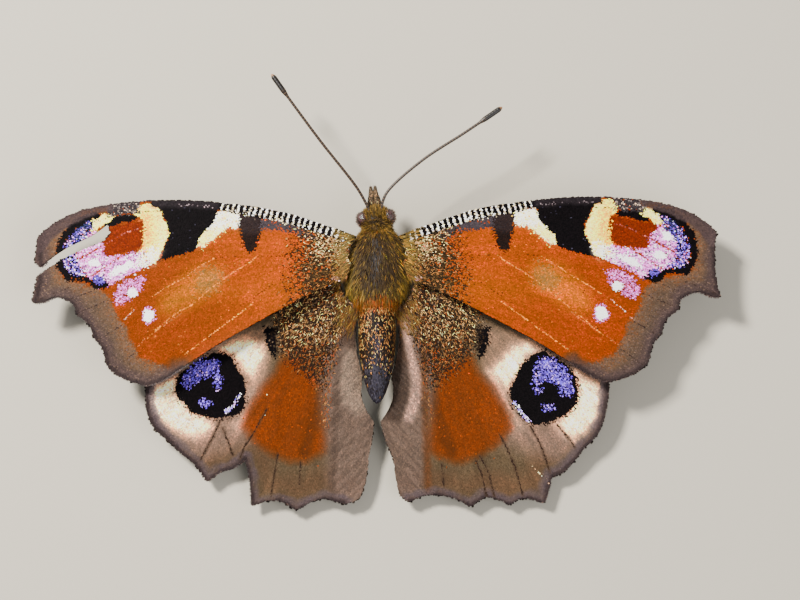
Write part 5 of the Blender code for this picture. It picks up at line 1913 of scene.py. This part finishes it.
# %% Legs
LEG_ROUTES = {
    "midleg": [(1.1, 2.2, 2.7), (4.6, 3.9, 2.95), (6.75, 5.3, 0.2), (9.9, 6.2, 0.11)],
    "hindleg": [(1.1, 0.3, 2.7), (4.4, -2.6, 2.75), (6.8, -6.0, 0.2), (8.5, -9.0, 0.11)],
    "foreleg": [(0.75, 4.1, 2.7), (1.2, 5.5, 1.95), (1.05, 6.7, 2.2), (0.95, 7.4, 2.45)],
}
THIGH, SHIN, FOOT = 0.24, 0.16, 0.105
FOOT_RINGS = 5
LEG_HAIR = [(108, 84, 60), (78, 58, 42), (140, 112, 80)]
LEG_HAIRS = 1500


def leg_route(name, side):
    """The leg's line with its thickness: thigh, shin and ringed foot, pinched at the joints."""
    joints = np.array(LEG_ROUTES[name]) * (side, 1.0, 1.0)
    parts, radii = [], []
    for k, (thick, thin) in enumerate(((THIGH, 0.17), (0.15, SHIN), (FOOT, 0.08))):
        t = np.linspace(0.0, 1.0, 30 if k < 2 else 61)[:, None]
        parts.append(joints[k] * (1 - t) + joints[k + 1] * t)
        swell = thick + (thin - thick) * t[:, 0]
        if k == 2:
            swell = swell * (0.82 + 0.25 * np.abs(np.sin(math.pi * FOOT_RINGS * t[:, 0])))
        else:
            swell = swell * (0.75 + 0.35 * np.sin(math.pi * np.clip(t[:, 0], 0.02, 0.98)) ** 0.5)
        radii.append(swell)
    parts[1] = parts[1][1:]
    parts[2] = parts[2][1:]
    return np.concatenate(parts), np.concatenate([radii[0], radii[1][1:], radii[2][1:]])


def claw(tip, ahead, side):
    """A curved claw beside the foot's end."""
    lean = np.array((ahead[1], -ahead[0], 0.0)) * side
    t = np.linspace(0.0, 1.0, 8)[:, None]
    route = tip + ahead * 0.26 * t + lean * (0.07 + 0.05 * t) + np.array((0.0, 0.0, 1.0)) * (
        0.05 * np.sin(math.pi * t) - 0.05 * t
    )
    return tube(route, 0.035 * (1.0 - 0.9 * t[:, 0]), 7)


def add_leg(name, side, word):
    route, radii = leg_route(name, side)
    parts = [tube(route, radii, 14)]
    ahead = unit((route[-1] - route[-3])[None])[0]
    for bend in (-1.0, 1.0):
        parts.append(claw(route[-1], ahead, bend))
    node = name + "_" + word
    new_piece(node + "_shell", *joined(parts), SHELL, [node], "shell")
    add_leg_hairs(node, route, radii, name == "foreleg")


def add_leg_hairs(node, route, radii, brush):
    """Scales and short hairs along the leg, longer on the front pair."""
    dice = np.random.default_rng(81)
    place = dice.uniform(0.0, len(route) - 1.01, LEG_HAIRS)
    i = place.astype(int)
    centre = route[i] + (route[i + 1] - route[i]) * (place - i)[:, None]
    ahead = unit(route[i + 1] - route[i])
    right = unit(np.cross(ahead, (0.0, 0.0, 1.0)))
    around = dice.uniform(0.0, 2.0 * math.pi, LEG_HAIRS)
    out = right * np.cos(around)[:, None] + np.cross(right, ahead) * np.sin(around)[:, None]
    here = centre + out * radii[i][:, None]
    keep = here[:, 2] > 0.03
    here, out, ahead, around, place = here[keep], out[keep], ahead[keep], around[keep], place[keep]
    foot = place > 59
    forward = unit(ahead + np.where(foot, 0.15, 0.3)[:, None] * out + dice.normal(0.0, 0.12, out.shape))
    forward[:, 2] = np.where(foot, np.maximum(forward[:, 2], 0.0), forward[:, 2])
    length = dice.uniform(0.16, 0.30, len(here)) * (2.2 if brush else 1.0) * np.where(foot, 0.6, 1.0)
    size = np.stack([length, np.full(len(here), 0.045), np.full(len(here), 0.2)], 1)
    tone = some_tones(LEG_HAIR, len(here), dice)
    unwrap = np.stack([around / (2.0 * math.pi), place / len(route)], 1)
    grow_coat(
        node + "_hairs", LOW_HAIR, here * MM, forward, out, size, tone, HAIR_FINISH, unwrap, [node],
        0.05, 82
    )


for name in LEG_ROUTES:
    for side, word in ((-1.0, "left"), (1.0, "right")):
        add_leg(name, side, word)

# %% [markdown]
# ## Gold dust at the wing roots
# Near the body the wings are dusted with bright hair scales that curl every way over dark ones. They
# are gold on the forewings and nearly white on the front of the hindwings, and they thin out with
# distance.

# %% Hair scales at the wing roots
PALE_DUST = [(222, 204, 166), (206, 182, 136), (236, 222, 192), (190, 162, 110)]
GOLD_DUST = [(188, 154, 86), (170, 134, 64), (206, 176, 112), (152, 114, 52)]
RUST_DUST = [(186, 112, 24), (168, 92, 16), (198, 130, 44)]
DUST_SIZE = (0.23, 0.048, 0.28)
DUST_STEP = 0.115


def dust_chance(fore, x, y, costa, side):
    """Share of places that carry a bright hair scale."""
    if fore:
        near = np.clip((9.6 - x) / 4.6 - 0.10 * np.maximum(0.0, y - 2.5), 0.0, 1.0) ** 1.3
        return np.where(costa > 0.9, 0.44 * near, 0.2 * near * (x < 3.2))
    away = np.clip(0.5 + patch(x, y, HIND_BASE) / 2.0, 0.0, 1.0)
    column = np.clip(1.0 - to_line(x, y, DUST_COLUMN) / 0.6, 0.0, 1.0) * (1.0 if side < 0.0 else 0.45)
    chance = np.maximum(0.42 * away, 0.58 * column)
    clear = (to_line(x, y, RIGHT_FOLD) > 0.45) & (patch(x, y, HIND_WEDGE) < -0.2)
    return chance * clear * np.clip((x - 2.4) / 0.8, 0.0, 1.0)


def add_dust(wing, seed):
    dice = np.random.default_rng(seed)
    x, y, angle = fan_rows(wing, DUST_STEP, seed)
    px, py = wing.pattern_place(x, y)
    costa = to_line(px, py, front_margin(wing))
    keep = dice.random(len(x)) < dust_chance(wing.fore, px, py, costa, wing.side)
    x, y, px, py = x[keep], y[keep], px[keep], py[keep]
    angle = angle[keep] + dice.normal(0.0, 0.75, len(x))
    p = Paint(px, py, seed + 1)
    p.lay(GOLD_DUST, p.everywhere)
    if wing.fore:
        p.lay(PALE_DUST, spot(px, py, (4.6, 3.9), (2.8, 1.6), 10.0), 0.8, 0.85)
    else:
        p.lay(PALE_DUST, spot(px, py, (6.2, -2.2), (3.8, 2.6), -20.0), 1.2, 0.85)
    p.lay(RUST_DUST, np.maximum(px - 8.0 if wing.fore else px * 0.0 - 1.0, -5.0 - py), 1.5, 0.6)
    up = wing.normals(x, y)
    forward = wing.heading(angle)
    roots = wing.place(
        x, y, wing.read("height", x, y) + MEMBRANE_HALF + 0.035 + VEIN_RELIEF * wing.read("vein", x, y) ** 1.5
    )
    size = np.array(DUST_SIZE) * dice.uniform(0.7, 1.3, (len(x), 1))
    grow_coat(
        wing.node + "_dust", LOW_HAIR, roots, forward, up, size, p.colours(0.05), HAIR_FINISH,
        wing_unwrap(x, y), [wing.node], 0.12, seed
    )


for number, wing in enumerate(WINGS.values()):
    add_dust(wing, 300 + number)

# %% [markdown]
# ## Fringes and root hair
# The outer margins carry a short fringe of grey hair scales, and long soft hair from the chest hides
# the roots of all four wings.

# %% Fringes
FRINGE_LENGTH = 0.30
ROOT_TRIES = 9000


def add_fringe(wing, seed):
    """Short flat hairs along the outer margin, pointing outward in the wing's plane."""
    dice = np.random.default_rng(seed)
    rim = wing.rim
    ahead = np.roll(rim, -1, axis=0) - rim
    share = dice.random(len(rim) * 9)
    i = np.repeat(np.arange(len(rim)), 9)
    here = rim[i] + ahead[i] * share[:, None]
    away = np.stack([ahead[i, 1], -ahead[i, 0]], 1)
    area = np.sum(rim[:, 0] * np.roll(rim[:, 1], -1) - rim[:, 1] * np.roll(rim[:, 0], -1))
    away = unit(away * np.sign(area))
    x, y = here.T
    px, py = wing.pattern_place(x, y)
    margin = to_line(px, py, outer_margin(wing))
    keep = margin < 0.45
    x, y, px, py, away = x[keep], y[keep], px[keep], py[keep], away[keep]
    x, y = x - 0.06 * away[:, 0], y - 0.06 * away[:, 1]
    forward = unit(
        np.stack(
            [wing.side * away[:, 0], away[:, 1], np.zeros(len(x))], 1
        ) + dice.normal(0.0, 0.16, (len(x), 3)) * (1.0, 1.0, 0.6)
    )
    size = np.stack(
        [FRINGE_LENGTH * dice.uniform(0.5, 1.2, len(x)), np.full(len(x), 0.06), np.full(len(x), 0.1)], 1
    )
    p = Paint(px, py, seed + 1)
    p.lay(PLUM_GREY + [(72, 56, 60), (60, 48, 50)], p.everywhere)
    p.lay([(150, 130, 124), (170, 148, 136)], 0.3 * cloud(px, py, 0.8, seed + 2), 0.2, 0.25)
    roots = wing.place(x, y, wing.read("height", x, y) + dice.uniform(-0.03, 0.04, len(x)))
    grow_coat(
        wing.node + "_fringe", LOW_HAIR, roots, forward, wing.normals(x, y), size, p.colours(0.06),
        HAIR_FINISH, wing_unwrap(x, y), [wing.node], 0.06, seed
    )


def add_root_hair(wing, seed):
    """Long hair that leaves the chest and lies over the first millimetres of the wing."""
    dice = np.random.default_rng(seed)
    low, high = wing.rim.min(0), wing.rim.max(0)
    x = dice.uniform(1.2, 4.6, ROOT_TRIES)
    y = dice.uniform(low[1], high[1], ROOT_TRIES)
    keep = within(x, y, wing.corners)
    keep &= dice.random(ROOT_TRIES) < np.clip((3.9 - x) / 1.3, 0.0, 1.0) * np.clip((y + 4.2) / 2.0, 0.0, 1.0)
    x, y = x[keep], y[keep]
    angle = np.arctan2(y - 4.4, x + 0.5) + dice.normal(0.0, 0.22, len(x))
    forward = np.stack([wing.side * np.cos(angle), np.sin(angle), np.full(len(x), 0.10)], 1)
    size = np.stack([dice.uniform(0.5, 0.95, len(x)), np.full(len(x), 0.035), np.full(len(x), 0.7)], 1)
    p = Paint(x, y, seed + 1)
    p.lay(SIDE_GOLD, p.everywhere)
    p.lay([(170, 122, 50), (152, 106, 44)], 1.6 - y, 1.2, 0.6)
    roots = wing.place(x, y, wing.read("height", x, y) + MEMBRANE_HALF)
    grow_coat(
        wing.node + "_root_hair", HAIR, roots, unit(forward), wing.normals(x, y), size, p.colours(0.08),
        FUR_FINISH, wing_unwrap(x, y), [wing.node], 0.12, seed
    )


for number, wing in enumerate(WINGS.values()):
    add_fringe(wing, 400 + number)
    add_root_hair(wing, 500 + number)
